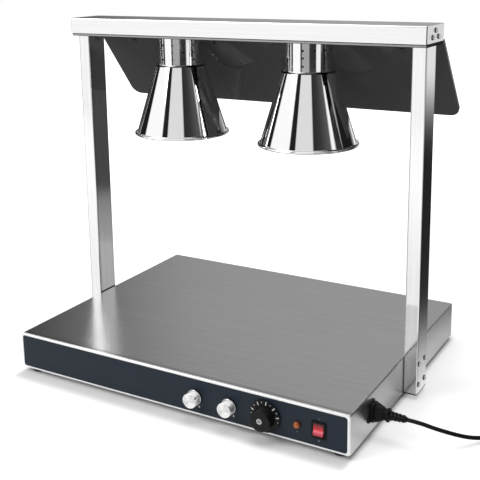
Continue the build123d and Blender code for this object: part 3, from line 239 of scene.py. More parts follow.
class Finish(Graph):
    """One procedural material in the object's coordinates, or centred on a front-to-back axis."""

    def __init__(self, name, centre=None):
        self.material = bpy.data.materials.new(name)
        self.material.use_nodes = True
        super().__init__(self.material.node_tree)
        self.spot = self.coords()
        if centre is not None:
            self.spot = self.place(move=(-centre.x, 0, -centre.z))

    def place(self, scale=(1, 1, 1), move=(0, 0, 0), turn=(0, 0, 0)):
        """Coordinates moved, turned and scaled."""
        values = {"Vector": self.spot, "Location": move, "Rotation": turn, "Scale": scale}
        return self.add("Mapping", values)

    def at(self, axis):
        """Place along one axis."""
        return self.part(self.spot, axis)

    def facing(self, axis):
        """How far the surface faces along one axis."""
        return self.part(self.coords("Normal"), axis)

    def noise(self, scale, detail=2.0, roughness=0.5, turn=(0, 0, 0)):
        """Noise; three scales stretch it."""
        vector = self.spot
        if isinstance(scale, tuple):
            vector = self.place(scale, turn=turn)
            scale = 1.0
        values = {"Vector": vector, "Scale": scale, "Detail": detail, "Roughness": roughness}
        return self.add("TexNoise", values, out="Fac")

    def wave(self, kind, axis, **values):
        """Regular rings or bands."""
        settings = {"wave_type": kind, f"{kind.lower()}_direction": axis}
        return self.add("TexWave", {"Vector": self.spot, **values}, settings, out="Fac")

    def shades(self, factor, tint, first, last):
        """Colour between two shades of a tint."""
        return self.mix(factor, shaded(tint, first), shaded(tint, last))

    def bump(self, height, strength, distance):
        """Normal of a surface with small heights."""
        values = {"Strength": strength, "Distance": distance, "Height": height}
        return self.add("Bump", values, out="Normal")

    def principled(self, **values):
        """Principled shader; names use an underscore for a space."""
        values = {key.replace("_", " "): value for key, value in values.items()}
        return self.add("BsdfPrincipled", values)

    def output(self, shader):
        """Make a shader the material's surface."""
        self.add("OutputMaterial", {"Surface": shader})
        return self.material

    def surface(self, **values):
        """Material with one principled surface."""
        return self.output(self.principled(**values))


def grain(finish, along):
    """Fine scratches and broad streaks that run along one axis."""
    layers = []
    for across, lengthwise in ((2600.0, 26.0), (480.0, 5.0)):
        scale = [across, across, across]
        scale[along] = lengthwise
        layers.append(finish.noise(tuple(scale), 3.0, 0.6))
    return layers


def brushed_steel(name, tint, along, roughness, side_along=None, metal=1.0, contrast=1.0, joints_and_shade=None):
    """Brushed sheet; left and right sides may be rougher with another grain, and the given function adds dark
    joints and lines of painted shade.
    """
    finish = Finish(name)
    scratches, streaks = grain(finish, along)
    if side_along is not None:
        side = abs(finish.facing(0)) > 0.7
        pairs = zip((scratches, streaks), grain(finish, side_along))
        scratches, streaks = (first + side * (other - first) for first, other in pairs)
        roughness = roughness + side * 0.09
    clouds = finish.noise(9.0, 3.0)
    gloss = roughness + 0.1 * (scratches - 0.5) + 0.08 * (streaks - 0.5) + 0.1 * (clouds - 0.5)
    tone = finish.span(0.5 * streaks + 0.5 * scratches, 0.25, 0.75)
    sheet = finish.shades(tone, tint, 1 - 0.1 * contrast, 1 + 0.08 * contrast)
    if joints_and_shade is not None:
        dark = joints_and_shade(finish)
        # Dark joints and painted shade, in the gap colour
        sheet = finish.mix(dark, sheet, GAP_AND_SHADE)
        gloss = gloss + 0.7 * finish.span(dark, 0.5, 1.0)
    return finish.surface(Base_Color=sheet, Metallic=metal, Roughness=gloss,
                          Normal=finish.bump(scratches, 0.35, 0.02 * MM))


def plate_edge_shade(finish):
    """Painted shade: a dark line along the left edge of the plate and a fainter one along its front."""
    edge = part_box("base_cover")[0]
    left = finish.span(finish.at(0), edge.x + 0.6 * MM, edge.x + 2.4 * MM, 0.9, 0.0)
    front = finish.span(finish.at(1), edge.y + 2 * MM, edge.y + 11 * MM, 0.3, 0.0)
    return finish.larger(left, front) * (finish.facing(2) > 0.5)


def tray_shade_lines(finish):
    """Painted shade: a dark line under the beam's cover, a dark line along the fold below it and dark open
    ends.
    """
    height = finish.at(2)
    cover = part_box("beam_cover")[0].z
    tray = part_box("beam_tray")[0].z
    seam = finish.span(height, cover - 1.7 * MM, cover - 0.9 * MM)
    fold = finish.span(height, tray + 0.3 * MM, tray + 1.3 * MM, 1.0, 0.0)
    return finish.larger(finish.larger(seam, fold), abs(finish.facing(0)) > 0.5)


def cap_gaps(finish):
    """Dark joint between a beam end cap and the cover's front and back, closer at the left end."""
    return (abs(finish.facing(1)) > 0.5) * (0.25 + 0.75 * (finish.at(0) > 0.0))


def post_shade_lines(finish):
    """Painted shade: a dark line where a post passes the plate's edge, shade along its sides and a dark line
    down its inner front corner.
    """
    aside = finish.facing(0)
    across = finish.at(0)
    depth = finish.at(1)
    low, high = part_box("post_left")
    line = finish.span(abs(finish.at(2) - PLATE_EDGE), 0.7 * MM, 1.5 * MM, 1.0, 0.0)
    line = line * (aside * across < -0.1)
    near = finish.span(depth, low.y, low.y + 9 * MM, 0.3, 0.0)
    far = finish.span(depth, high.y - 6 * MM, high.y, 0.0, 0.25)
    inward = across - low.x - (across > 0.0) * (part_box("post_right")[0].x - low.x)
    corner = (finish.facing(1) < -0.2) * (inward < 2.0 * MM) * 0.5
    return finish.larger(line, (abs(aside) > 0.9) * (near + far) + corner)


def spun_steel(name, tint, roughness, crease):
    """Mirror polish with faint rings left by the spinning tool, a few smears and a dark line of painted shade
    where neck meets shade.
    """
    finish = Finish(name)
    rings = finish.noise((5, 5, 1400))
    smears = finish.noise((14, 14, 22), 4.0, 0.65)
    # Painted shade: a dark line in the crease where neck meets shade
    joint = finish.span(abs(finish.at(2) - crease), 0.6 * MM, 1.8 * MM)
    return finish.surface(
        Base_Color=finish.mix(joint, grey(0.07), finish.shades(smears, tint, 0.96, 1.03)), Metallic=1.0,
        Roughness=roughness + 0.03 * (rings - 0.5) + 0.06 * finish.span(smears, 0.55, 0.78),
        Normal=finish.bump(rings, 0.06, 0.01 * MM))


def turned_metal(name, tint, centre, roughness):
    """Metal turned about a front-to-back axis: rings, painted fans of light on the face and a foot painted
    dark as shade.
    """
    finish = Finish(name, centre)
    depth = finish.at(1)
    rings = finish.wave("RINGS", "Y", Scale=700.0, Distortion=0.6)
    angle = finish.math("ARCTAN2", finish.at(2), finish.at(0))
    # Painted highlights: fans of light across the face
    fans = finish.math("SINE", angle * 2.0 + 0.6) * 0.35 + finish.math("SINE", angle * 5.0 + 1.0) * 0.2
    fans = finish.span(fans, -0.5, 0.5) * (finish.facing(1) < -0.7)
    wear_marks = finish.noise(420.0, 4.0)
    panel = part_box("front_overlay")[0].y
    # Painted shade: the foot next to the panel is dark
    foot = finish.span(depth, panel - 3.4 * MM, panel - 2.6 * MM)
    lit = finish.shades(fans * 0.8 + wear_marks * 0.2, tint, 1.0, 0.66)
    return finish.surface(
        Base_Color=finish.mix(foot, lit, (0.015, 0.015, 0.016)), Metallic=0.72,
        Roughness=roughness + 0.1 * (rings - 0.5) + 0.1 * (wear_marks - 0.5),
        Normal=finish.bump(depth * 0.34 + rings * (0.02 * MM), 1.0, 1.0))


def plated(name, tint, roughness=0.34):
    """Zinc plate with soft patches."""
    finish = Finish(name)
    cells = {"Vector": finish.spot, "Scale": 260.0}
    level = finish.part(finish.add("TexVoronoi", cells, out="Color"), 0)
    dust = finish.noise(900.0, 3.0)
    return finish.surface(
        Base_Color=finish.shades(level, tint, 0.86, 1.1), Metallic=1.0,
        Roughness=roughness + 0.14 * (level - 0.5) + 0.14 * (dust - 0.5),
        Normal=finish.bump(dust, 0.15, 0.04 * MM))


def screw_heads(name, tint):
    """Light heads on a left-to-right axis, painted dark round the rim as shade, with the sockets left light.
    """
    finish = Finish(name)
    dust = finish.noise(900.0, 3.0)
    level = abs(finish.facing(0))
    top = (finish.at(2) > BEAM_SCREWS) * (BEAM_SOCKET - POST_SOCKET) + POST_SOCKET
    socket = (level < 0.3) * (abs(finish.at(0)) > top)
    # Painted shade round the rim of each head
    rim = finish.span(level, 0.4, 0.7, 1.0, 0.0) * (1.0 - socket)
    return finish.surface(
        Base_Color=finish.mix(rim, finish.shades(dust, tint, 0.9, 1.1), grey(0.02)),
        Metallic=0.15, Roughness=0.32 + 0.12 * (dust - 0.5) + 0.15 * rim,
        Normal=finish.bump(dust, 0.1, 0.03 * MM))


def moulded(name, tint, roughness=0.36, scale=1900.0, strength=0.2, sheen=0.3):
    """Moulded plastic or rubber with a fine eroded skin."""
    finish = Finish(name)
    skin = finish.noise(scale, 2.0, 0.6)
    clouds = finish.noise(60.0, 3.0)
    return finish.surface(
        Base_Color=finish.shades(clouds, tint, 0.8, 1.25), Specular_IOR_Level=sheen,
        Roughness=roughness + 0.1 * (skin - 0.5) + 0.14 * (clouds - 0.5),
        Normal=finish.bump(skin, strength, 0.05 * MM))


def overlay_film(name, tint):
    """Satin polyester skin with a fine tooth."""
    finish = Finish(name)
    tooth = finish.noise(2600.0, 2.0, 0.6)
    clouds = finish.noise((6, 6, 16), 3.0)
    return finish.surface(
        Base_Color=finish.shades(clouds, tint, 0.93, 1.07), Specular_IOR_Level=0.14,
        Roughness=0.42 + 0.1 * (tooth - 0.5) + 0.05 * (clouds - 0.5),
        Normal=finish.bump(tooth, 0.12, 0.03 * MM))


def smoked_sheet(name, tint):
    """Dark glossy sheet with faint wiping marks."""
    finish = Finish(name)
    wipes = finish.noise((9, 30, 30), 5.0, 0.7, turn=(0, 0, 0.5))
    specks = finish.span(finish.noise(1300.0, 1.0), 0.72, 0.8)
    return finish.surface(
        Base_Color=finish.shades(specks, tint, 1.0, 1.8), IOR=1.49, Specular_IOR_Level=0.3,
        Roughness=0.05 + 0.06 * finish.span(wipes, 0.5, 0.8) + 0.2 * specks)


def amber_lens(name, tint, centre):
    """Amber dome, painted lighter in the middle as if lit from beneath and painted darker towards its rim as
    shade, with a faint glow in the middle.
    """
    finish = Finish(name, centre)
    across = finish.at(0)
    upward = finish.at(2)
    # Painted light and shade: lighter in the middle, darker towards the rim
    outward = finish.span(across * across + upward * upward, 0.0, (6.0 * MM) ** 2)
    ribs = finish.noise((1500, 300, 1500))
    return finish.surface(
        Base_Color=finish.shades(outward, tint, 0.95, 0.16), Roughness=0.08 + 0.06 * ribs,
        Coat_Weight=0.5, Coat_Roughness=0.03, Specular_IOR_Level=0.2,
        Emission_Color=finish.mix(outward, shaded(tint, 0.5), BLACK), Emission_Strength=0.1,
        Normal=finish.bump(ribs, 0.15, 0.05 * MM))


def rocker_red(name, tint, centre):
    """Glossy red plastic with a painted highlight just below its middle and painted shade towards its ends,
    with a dished lower half.
    """
    finish = Finish(name)
    below = centre.z - finish.at(2)
    flow = finish.noise((90, 90, 260), 3.0)
    skin = finish.noise(1500.0)
    # Painted highlight and painted shade along the rocker's height
    glow = finish.ramp(below * 50.0 + 0.5 + 0.06 * (flow - 0.5), [
        (0.06, shaded(tint, 0.12)), (0.34, shaded(tint, 0.75)), (0.5, shaded(tint, 1.25)),
        (0.6, (0.95, 0.2, 0.26)), (0.72, (0.7, 0.1, 0.14)), (0.94, shaded(tint, 0.3))])
    return finish.surface(
        Base_Color=glow, Roughness=0.22 + 0.12 * (skin - 0.5) + 0.1 * (flow - 0.5),
        Coat_Weight=0.35, Coat_Roughness=0.22, Specular_IOR_Level=0.2,
        Normal=finish.bump(finish.larger(below, 0.0) * 0.2 + skin * (0.004 * MM), 1.0, 1.0))


def print_ink(name, tint, faint_from):
    """Screen-printed ink, a little uneven, and thinner to the right of the given place."""
    finish = Finish(name)
    cover = finish.noise(2200.0, 3.0)
    faint = finish.at(0) > faint_from
    ink = finish.mix(faint, finish.shades(cover, tint, 0.82, 1.0), shaded(tint, 0.3))
    return finish.surface(Base_Color=ink, Roughness=0.45 + 0.2 * cover,
                          Normal=finish.bump(cover, 0.1, 0.02 * MM))


def heater_silicone(name):
    """Red-brown silicone mat with the loops of its heating wire."""
    finish = Finish(name)
    wire = finish.wave("BANDS", "X", Scale=22.0, Distortion=0.4)
    weave = finish.noise((900, 900, 900))
    return finish.surface(
        Base_Color=finish.mix(finish.span(wire, 0.8, 0.95), (0.3, 0.07, 0.04), (0.17, 0.035, 0.025)),
        Roughness=0.5 + 0.2 * (weave - 0.5), Normal=finish.bump(wire + 0.3 * weave, 0.5, 0.4 * MM))


def speckled(name, first, last, noise, roughness, spread, bump, **others):
    """Surface between two colours that follows one noise, in its roughness too where that has a spread."""
    finish = Finish(name)
    skin = finish.noise(*noise)
    if spread:
        roughness = roughness + spread * skin
    return finish.surface(Base_Color=finish.mix(skin, first, last), Roughness=roughness,
                          Normal=finish.bump(skin, *bump), **others)


def wire_skin(name, tint, second=None):
    """Soft insulation of wires; right of the wires' split a second colour where one is given."""
    finish = Finish(name)
    skin = finish.noise(1400.0)
    base = finish.shades(skin, tint, 0.85, 1.1)
    if second is not None:
        base = finish.mix(finish.span(finish.at(0), WIRE_SPLIT - 3 * MM, WIRE_SPLIT + 3 * MM), base, second)
    return finish.surface(Base_Color=base, Roughness=0.42 + 0.15 * (skin - 0.5),
                          Normal=finish.bump(skin, 0.1, 0.04 * MM))


def bulb_skin(name, silver_from):
    """Silvered bulb with a frosted front and a brass-coloured cap."""
    finish = Finish(name)
    height = finish.at(2)
    frost = finish.span(height, silver_from, silver_from + 6 * MM, 1.0, 0.0)
    cap = finish.span(height, BULB_CAP - 0.5 * MM, BULB_CAP + 0.5 * MM)
    speckle = finish.noise(1600.0)
    body = finish.mix(frost, grey(0.86), (0.9, 0.88, 0.84))
    return finish.surface(
        Base_Color=finish.mix(cap, body, (0.68, 0.58, 0.36)), Metallic=1.0 - frost,
        Roughness=0.12 + 0.3 * frost + 0.1 * (speckle - 0.5), Normal=finish.bump(speckle, 0.05, 0.03 * MM))


def plug_rubber(name, tint, pins_from):
    """Moulded plug; beyond the given place along Y its pins are bare nickel."""
    finish = Finish(name)
    pins = finish.at(1) > pins_from
    skin = finish.noise(1700.0, 2.0, 0.6)
    return finish.surface(
        Base_Color=finish.mix(pins, finish.shades(skin, tint, 0.85, 1.3), (0.66, 0.64, 0.58)), Metallic=pins,
        Roughness=0.42 - 0.2 * pins + 0.12 * (skin - 0.5), Normal=finish.bump(skin, 0.2, 0.05 * MM))


def middle(node):
    """Centre of a CAD node's box."""
    low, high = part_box(node)
    return (low + high) / 2


def wear(material, *nodes):
    """Give CAD nodes a material."""
    for name in nodes:
        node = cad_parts[name]
        node.data.materials.clear()
        node.data.materials.append(material)


def select(*pieces):
    """Select pieces alone; the first becomes active."""
    bpy.ops.object.select_all(action="DESELECT")
    for piece in pieces:
        piece.select_set(True)
    bpy.context.view_layer.objects.active = pieces[0]


def made(kind, name, scale=(1, 1, 1), **where):
    """Add a primitive and put its place, turn and scale into its mesh."""
    getattr(bpy.ops.mesh, f"primitive_{kind}_add")(**where)
    piece = bpy.context.object
    piece.scale = scale
    piece.name = name
    piece.data.name = name
    select(piece)
    bpy.ops.object.transform_apply(location=True, rotation=True, scale=True)
    return piece


def rounded(piece, width):
    """Bevel the sharp edges of a piece for good."""
    bpy.context.view_layer.objects.active = piece
    bevel = piece.modifiers.new("edges", "BEVEL")
    bevel.width = width
    bevel.segments = 2
    bevel.limit_method = "ANGLE"
    bevel.angle_limit = 0.6
    bpy.ops.object.modifier_apply(modifier=bevel.name)
    return piece


def printed_bar(name, spot, size, turn=(0, 0, 0)):
    """Printed bar of some width and height with eased edges."""
    scale = (size[0], bpy.context.scene.warmer_sizes.print_thick, size[1])
    return rounded(made("cube", name, scale, size=1, location=spot, rotation=turn), PRINT_EDGE)


def printed_ring(name, spot, radius, wire, segments, thick):
    """Printed ring that faces the front."""
    return made("torus", name, location=spot, rotation=(QUARTER, 0, 0), major_radius=radius,
                minor_radius=wire, major_segments=segments, minor_segments=8,
                scale=(1, 1, thick / (2 * wire)))


def joined(name, pieces):
    """Make one piece of several."""
    select(*pieces)
    bpy.ops.object.join()
    whole = bpy.context.object
    whole.name = name
    whole.data.name = name
    return whole


def finished(piece, material, body):
    """Smooth a piece, give it its material and set it on its body."""
    select(piece)
    bpy.ops.object.shade_smooth_by_angle(angle=0.6)
    piece.data.materials.append(material)
    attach(piece, body)


class WARMER_OT_sheet_metal(bpy.types.Operator):
    """Finish the base, posts, beam and the sheet inside"""
    bl_idname = "warmer.sheet_metal"
    bl_label = "Sheet metal"

    def execute(self, context):
        tones = context.scene.warmer_finishes
        # A lighter copy of the steel, painted light, for posts, beam, end caps and the panel's edge
        bright = shaded(tones.steel, 1.5)
        smooth = tones.post_roughness
        wear(brushed_steel("plate_steel", tones.steel, 0, tones.plate_roughness, 1, joints_and_shade=plate_edge_shade),
             "base_cover")
        wear(brushed_steel("post_steel", bright, 2, smooth, contrast=0.9, joints_and_shade=post_shade_lines),
             "post_left", "post_right")
        wear(brushed_steel("beam_steel", bright, 0, smooth, contrast=0.5), "beam_cover", "guard_rail")
        # A darker copy of the steel, painted shade, for the tray under the beam
        wear(brushed_steel("tray_steel", shaded(tones.steel, 0.6), 0, 0.25, joints_and_shade=tray_shade_lines), "beam_tray")
        wear(brushed_steel("cap_steel", bright, 1, 0.2, contrast=1.4, joints_and_shade=cap_gaps),
             "beam_end_cap_left", "beam_end_cap_right")
        wear(brushed_steel("panel_edge", bright, 0, 0.34, metal=0.55), "front_panel")
        wear(plated("zinc_sheet", tones.zinc), "bottom_plate", "heater_clamp", "nut_plates")
        wear(moulded("bracket_paint", tones.black, 0.6), "beam_end_brackets")
        return {"FINISHED"}


class WARMER_OT_fasteners(bpy.types.Operator):
    """Finish screws, nuts and rivets"""
    bl_idname = "warmer.fasteners"
    bl_label = "Fasteners"

    def execute(self, context):
        tones = context.scene.warmer_finishes
        # A lighter copy of the steel, painted light, for the screw heads
        wear(screw_heads("screw_steel", shaded(tones.steel, 1.4)), "post_screws", "beam_end_screws")
        wear(moulded("screw_dark", shaded(tones.guard, 0.9), 0.4, 900.0), "guard_screws")
        wear(plated("zinc_screws", tones.zinc), "underside_screws", "clamp_nuts", "control_nuts",
             "post_top_screws", "shade_rivets", "lamp_nipples", "dimmer_shaft_left", "dimmer_shaft_right",
             "thermostat_shaft")
        return {"FINISHED"}


class WARMER_OT_lamps(bpy.types.Operator):
    """Finish necks, shades, holders and bulbs"""
    bl_idname = "warmer.lamps"
    bl_label = "Lamps"

    def execute(self, context):
        polished = context.scene.warmer_finishes.polished
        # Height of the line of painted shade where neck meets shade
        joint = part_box("lamp_shade_left")[1].z - 1.5 * MM
        wear(spun_steel("shade_steel", polished, 0.03, joint), "lamp_shade_left", "lamp_shade_right")
        wear(spun_steel("neck_steel", polished, 0.05, joint), "lamp_neck_left", "lamp_neck_right")
        glaze = speckled("holder_porcelain", (0.74, 0.72, 0.67), (0.84, 0.83, 0.79), (120.0, 3.0), 0.16, 0.1,
                         (0.08, 0.3 * MM), Coat_Weight=0.5, Coat_Roughness=0.06)
        wear(glaze, "lampholder_left", "lampholder_right")
        silver_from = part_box("bulb_left")[0].z + 22 * MM
        wear(bulb_skin("bulb_glass", silver_from), "bulb_left", "bulb_right")
        return {"FINISHED"}


class WARMER_OT_guard(bpy.types.Operator):
    """Finish the guard behind the beam"""
    bl_idname = "warmer.guard"
    bl_label = "Guard"

    def execute(self, context):
        wear(smoked_sheet("smoked_sheet", context.scene.warmer_finishes.guard), "sneeze_guard")
        return {"FINISHED"}


class WARMER_OT_controls(bpy.types.Operator):
    """Finish the panel's skin, knobs, dial, pilot lamp and switch"""
    bl_idname = "warmer.controls"
    bl_label = "Controls"

    def execute(self, context):
        tones = context.scene.warmer_finishes
        wear(overlay_film("overlay_film", tones.overlay), "front_overlay")
        for side in ("left", "right"):
            knob = f"lamp_knob_{side}"
            wear(turned_metal(f"turned_{side}", tones.aluminium, middle(knob), 0.22), knob)
        wear(moulded("dial_black", tones.black, 0.3, sheen=0.16), "thermostat_knob")
        wear(moulded("frame_black", shaded(tones.black, 0.6), 0.28, sheen=0.12), "switch_housing")
        wear(amber_lens("amber_lens", tones.amber, middle("pilot_lens")), "pilot_lens")
        wear(rocker_red("rocker_red", tones.red, middle("switch_rocker")), "switch_rocker")
        return {"FINISHED"}


class WARMER_OT_inside(bpy.types.Operator):
    """Finish what is inside the base, the feet and the plugs of the posts"""
    bl_idname = "warmer.inside"
    bl_label = "Inside and feet"

    def execute(self, context):
        tones = context.scene.warmer_finishes
        wear(moulded("foot_rubber", grey(0.018), 0.62, 900.0, strength=0.4), "feet")
        wear(moulded("plug_black", tones.black, 0.4), "post_plugs", "mains_inlet", "pilot_body")
        wear(moulded("control_grey", (0.05, 0.05, 0.055), 0.45),
             "dimmer_left", "dimmer_right", "thermostat_body")
        wear(moulded("terminal_white", (0.72, 0.71, 0.66), 0.4), "terminal_block")
        wear(heater_silicone("heater_silicone"), "heater_mat")
        wool = speckled("mineral_wool", (0.5, 0.46, 0.34), (0.78, 0.74, 0.6), ((700, 220, 500), 6.0, 0.7),
                        0.95, 0.0, (0.8, 0.6 * MM))
        wear(wool, "insulation_pad")
        wear(plated("sensor_copper", tones.copper, 0.3), "thermostat_sensor")
        wear(wire_skin("wire_skin", (0.2, 0.07, 0.03), (0.02, 0.08, 0.4)), "supply_wires")
        wear(wire_skin("cable_skin", (0.5, 0.49, 0.46)), "lamp_cable")
        return {"FINISHED"}


class WARMER_OT_dial_marks(bpy.types.Operator):
    """Print the scale on the dial's skirt and the sign on its cap"""
    bl_idname = "warmer.dial_marks"
    bl_label = "Dial marks"

    # Angles in degrees, clockwise from the top as seen from the front
    LONG = (-68, -30.5, 7, 44.5, 82)
    SHORT = (-87, -49, -12, 26, 63, 101)
    LONG_RADIUS = 21.4 * MM
    SHORT_RADIUS = 22.2 * MM
    SHORT_SIZE = (1.0 * MM, 1.6 * MM)
    # The skirt's slope, and how far its rim stands off the panel
    SLOPE = math.atan2(1.2, 6.8)
    RIM_OUT = 3.0 * MM
    # The cap's ring, by radius, half width, segments and thickness, and the bar in it
    CAP_RING = (3.4 * MM, 0.75 * MM, 48, 0.3 * MM)
    CAP_BAR = (1.4 * MM, 3.4 * MM)

    def mark(self, angle, radius, size):
        """One mark on the skirt's slope."""
        low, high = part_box("thermostat_knob")
        hub = (low + high) / 2
        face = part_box("front_overlay")[0].y
        out = self.RIM_OUT + ((high.x - low.x) / 2 - radius) * math.tan(self.SLOPE)
        turn = math.radians(angle)
        spot = (hub.x + radius * math.sin(turn), face - out, hub.z + radius * math.cos(turn))
        return printed_bar("tick", spot, size, (-self.SLOPE, turn, 0))

    def execute(self, context):
        sizes = context.scene.warmer_sizes
        large = (sizes.tick_width, sizes.tick_length)
        marks = [self.mark(angle, self.LONG_RADIUS, large) for angle in self.LONG]
        marks += [self.mark(angle, self.SHORT_RADIUS, self.SHORT_SIZE) for angle in self.SHORT]
        hub = middle("thermostat_knob")
        cap = (hub.x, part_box("thermostat_knob")[0].y, hub.z)
        marks.append(printed_ring("cap_ring", cap, *self.CAP_RING))
        marks.append(printed_bar("cap_bar", cap, self.CAP_BAR))
        ink = print_ink("dial_print", context.scene.warmer_finishes.print_white, 1.0)
        finished(joined("dial_marks", marks), ink, "dial")
        return {"FINISHED"}


class WARMER_OT_panel_marks(bpy.types.Operator):
    """Print the dots of the lamp knobs and the on and off marks of the switch"""
    bl_idname = "warmer.panel_marks"
    bl_label = "Panel marks"

    # Where a mark stands beside and above the middle of its control
    DOT = (7.5 * MM, -14.5 * MM)
    ON = (0.0, 17.0 * MM)
    OFF = (0.0, -17.0 * MM)
    DASH = (0.0, -11.5 * MM)
    ON_SIZE = (0.7 * MM, 2.8 * MM)
    DASH_SIZE = (2.6 * MM, 0.6 * MM)
    # The ring of the off mark, by radius, half width and segments
    OFF_RING = (1.25 * MM, 0.3 * MM, 36)
    # From so far left of the pilot lamp marks are printed thinner
    FAINT_BEFORE = 10 * MM

    def spot(self, node, offset):
        """Place on the panel beside a control."""
        hub = middle(node)
        return (hub.x + offset[0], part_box("front_overlay")[0].y, hub.z + offset[1])

    def execute(self, context):
        sizes = context.scene.warmer_sizes
        thick = sizes.print_thick
        marks = []
        for side in ("left", "right"):
            dot = made("cylinder", "dot", vertices=28, radius=sizes.dot_radius, depth=thick,
                       location=self.spot(f"lamp_knob_{side}", self.DOT), rotation=(QUARTER, 0, 0))
            marks.append(rounded(dot, PRINT_EDGE))
        marks.append(printed_bar("on", self.spot("switch_housing", self.ON), self.ON_SIZE))
        marks.append(printed_ring("off", self.spot("switch_housing", self.OFF), *self.OFF_RING, thick))
        marks.append(printed_bar("lit", self.spot("pilot_lens", self.DASH), self.DASH_SIZE))
        faint_from = middle("pilot_lens").x - self.FAINT_BEFORE
        ink = print_ink("panel_print", context.scene.warmer_finishes.print_white, faint_from)
        finished(joined("panel_marks", marks), ink, "warmer")
        return {"FINISHED"}


class WARMER_OT_cord(bpy.types.Operator):
    """Lay the mains cord, tie its coil and finish connector and plug"""
    bl_idname = "warmer.cord"
    bl_label = "Mains cord"

    # Route from the connector to the coil, in millimetres
    ROUTE = (
        (360.0, -150.75, 42.0), (379.0, -150.75, 42.0), (400.0, -144.75, 35.5), (418.0, -131.75, 27.0),
        (433.0, -113.75, 16.5), (448.0, -92.75, 7.5), (468.95, -69.75, 4.7), (473.95, -50.75, 4.3),
        (473.95, -38.75, 4.3),
    )
    COIL_CENTRE = (517.0, -32.75)
    # Radius and height at each half turn, in millimetres: inwards below, then outwards above
    HALF_TURNS = (
        *((43.05 - 3.45 * turn, 4.3) for turn in range(6)), (24.2, 11.2),
        *((29.25 + 3.45 * turn, 11.2) for turn in range(6)),
    )
    STEPS = 6
    TAIL = ((470.5, -15.0, 11.3), (470.5, 3.0, 18.0), (470.5, 21.25, 18.2), (470.5, 27.25, 18.2))
    PIN_LENGTH = 18.7 * MM
    STRAP_CORNER = 3.2 * MM
    STRAP_EDGE = 0.25 * MM
    FLAP_LENGTH = 11 * MM
    FLAP_ASIDE = 3 * MM

    def coil(self):
        """Points of the coil, clockwise from above from its left side."""
        swell = 1 / math.cos(math.pi / self.STEPS / 2)
        points = []
        for turn, (here, after) in enumerate(zip(self.HALF_TURNS, self.HALF_TURNS[1:])):
            for step in range(self.STEPS):
                share = step / self.STEPS
                radius = swell * (here[0] + share * (after[0] - here[0]))
                angle = math.pi * (1 - turn - share)
                points.append((self.COIL_CENTRE[0] + radius * math.cos(angle),
                               self.COIL_CENTRE[1] + radius * math.sin(angle),
                               here[1] + share * (after[1] - here[1])))
        last = self.HALF_TURNS[-1]
        points.append((self.COIL_CENTRE[0] - last[0], self.COIL_CENTRE[1], last[1]))
        return points

    def pick(self, mesh, kind, parts, wanted):
        """Select the wanted edges or faces of the active piece and leave it open for editing."""
        bpy.ops.object.mode_set(mode="EDIT")
        bpy.ops.mesh.select_mode(type=kind)
        bpy.ops.mesh.select_all(action="DESELECT")
        bpy.ops.object.mode_set(mode="OBJECT")
        for part in getattr(mesh, parts):
            part.select = wanted(part)
        bpy.ops.object.mode_set(mode="EDIT")

    def strap(self, context):
        """Strap round the coil: a band with rounded corners and a lapped end."""
        thick = context.scene.warmer_sizes.strap_thick
        low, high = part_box("cord_tie")
        size = high - low
        centre = (low + high) / 2
        band = made("cube", "coil_strap", size, size=1, location=centre)
        mesh = band.data

        def lengthwise(edge):
            first, last = (mesh.vertices[i].co for i in edge.vertices)
            return abs(first.y - last.y) > size.y / 2

        self.pick(mesh, "EDGE", "edges", lengthwise)
        bpy.ops.mesh.bevel(offset=self.STRAP_CORNER, segments=6, affect="EDGES")
        self.pick(mesh, "FACE", "polygons", lambda face: abs(face.normal.y) > 0.9)
        bpy.ops.mesh.delete(type="FACE")
        bpy.ops.object.mode_set(mode="OBJECT")
        wall = band.modifiers.new("wall", "SOLIDIFY")
        wall.thickness = thick
        bpy.ops.object.modifier_apply(modifier=wall.name)
        flap = made("cube", "flap", size=1, scale=(self.FLAP_LENGTH, size.y, thick),
                    location=(centre.x + self.FLAP_ASIDE, centre.y, high.z + 0.35 * thick))
        whole = rounded(joined("coil_strap", [band, flap]), self.STRAP_EDGE)
        weave = speckled("strap_weave", (0.008, 0.008, 0.009), (0.035, 0.035, 0.037),
                         ((1500, 700, 1500), 3.0, 0.7), 0.9, 0.0, (0.7, 0.2 * MM))
        finished(whole, weave, "warmer")
        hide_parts("cord_tie")
        return whole

    def execute(self, context):
        sizes = context.scene.warmer_sizes
        black = context.scene.warmer_finishes.black
        wear(moulded("connector_rubber", shaded(black, 0.6), 0.4, strength=0.3, sheen=0.16), "cord_connector")
        wear(plug_rubber("plug_rubber", black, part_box("mains_plug")[1].y - self.PIN_LENGTH), "mains_plug")
        points = [*self.ROUTE, *self.coil(), *self.TAIL]
        curve = bpy.data.curves.new("mains_cord", "CURVE")
        curve.dimensions = "3D"
        spline = curve.splines.new("NURBS")
        spline.points.add(len(points) - 1)
        for knot, place in zip(spline.points, points):
            knot.co = (*(c * MM for c in place), 1.0)
        spline.order_u = 3
        spline.use_endpoint_u = True
        curve.resolution_u = 6
        curve.bevel_depth = sizes.cord_diameter / 2
        curve.bevel_resolution = 6
        curve.use_fill_caps = True
        cord = bpy.data.objects.new("mains_cord", curve)
        context.collection.objects.link(cord)
        rubber = moulded("cord_rubber", shaded(black, 0.7), 0.44, 1500.0, strength=0.25, sheen=0.16)
        curve.materials.append(rubber)
        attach(cord, "warmer")
        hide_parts("power_cord", "cord_coil")
        strap = self.strap(context)
        return {"FINISHED"}


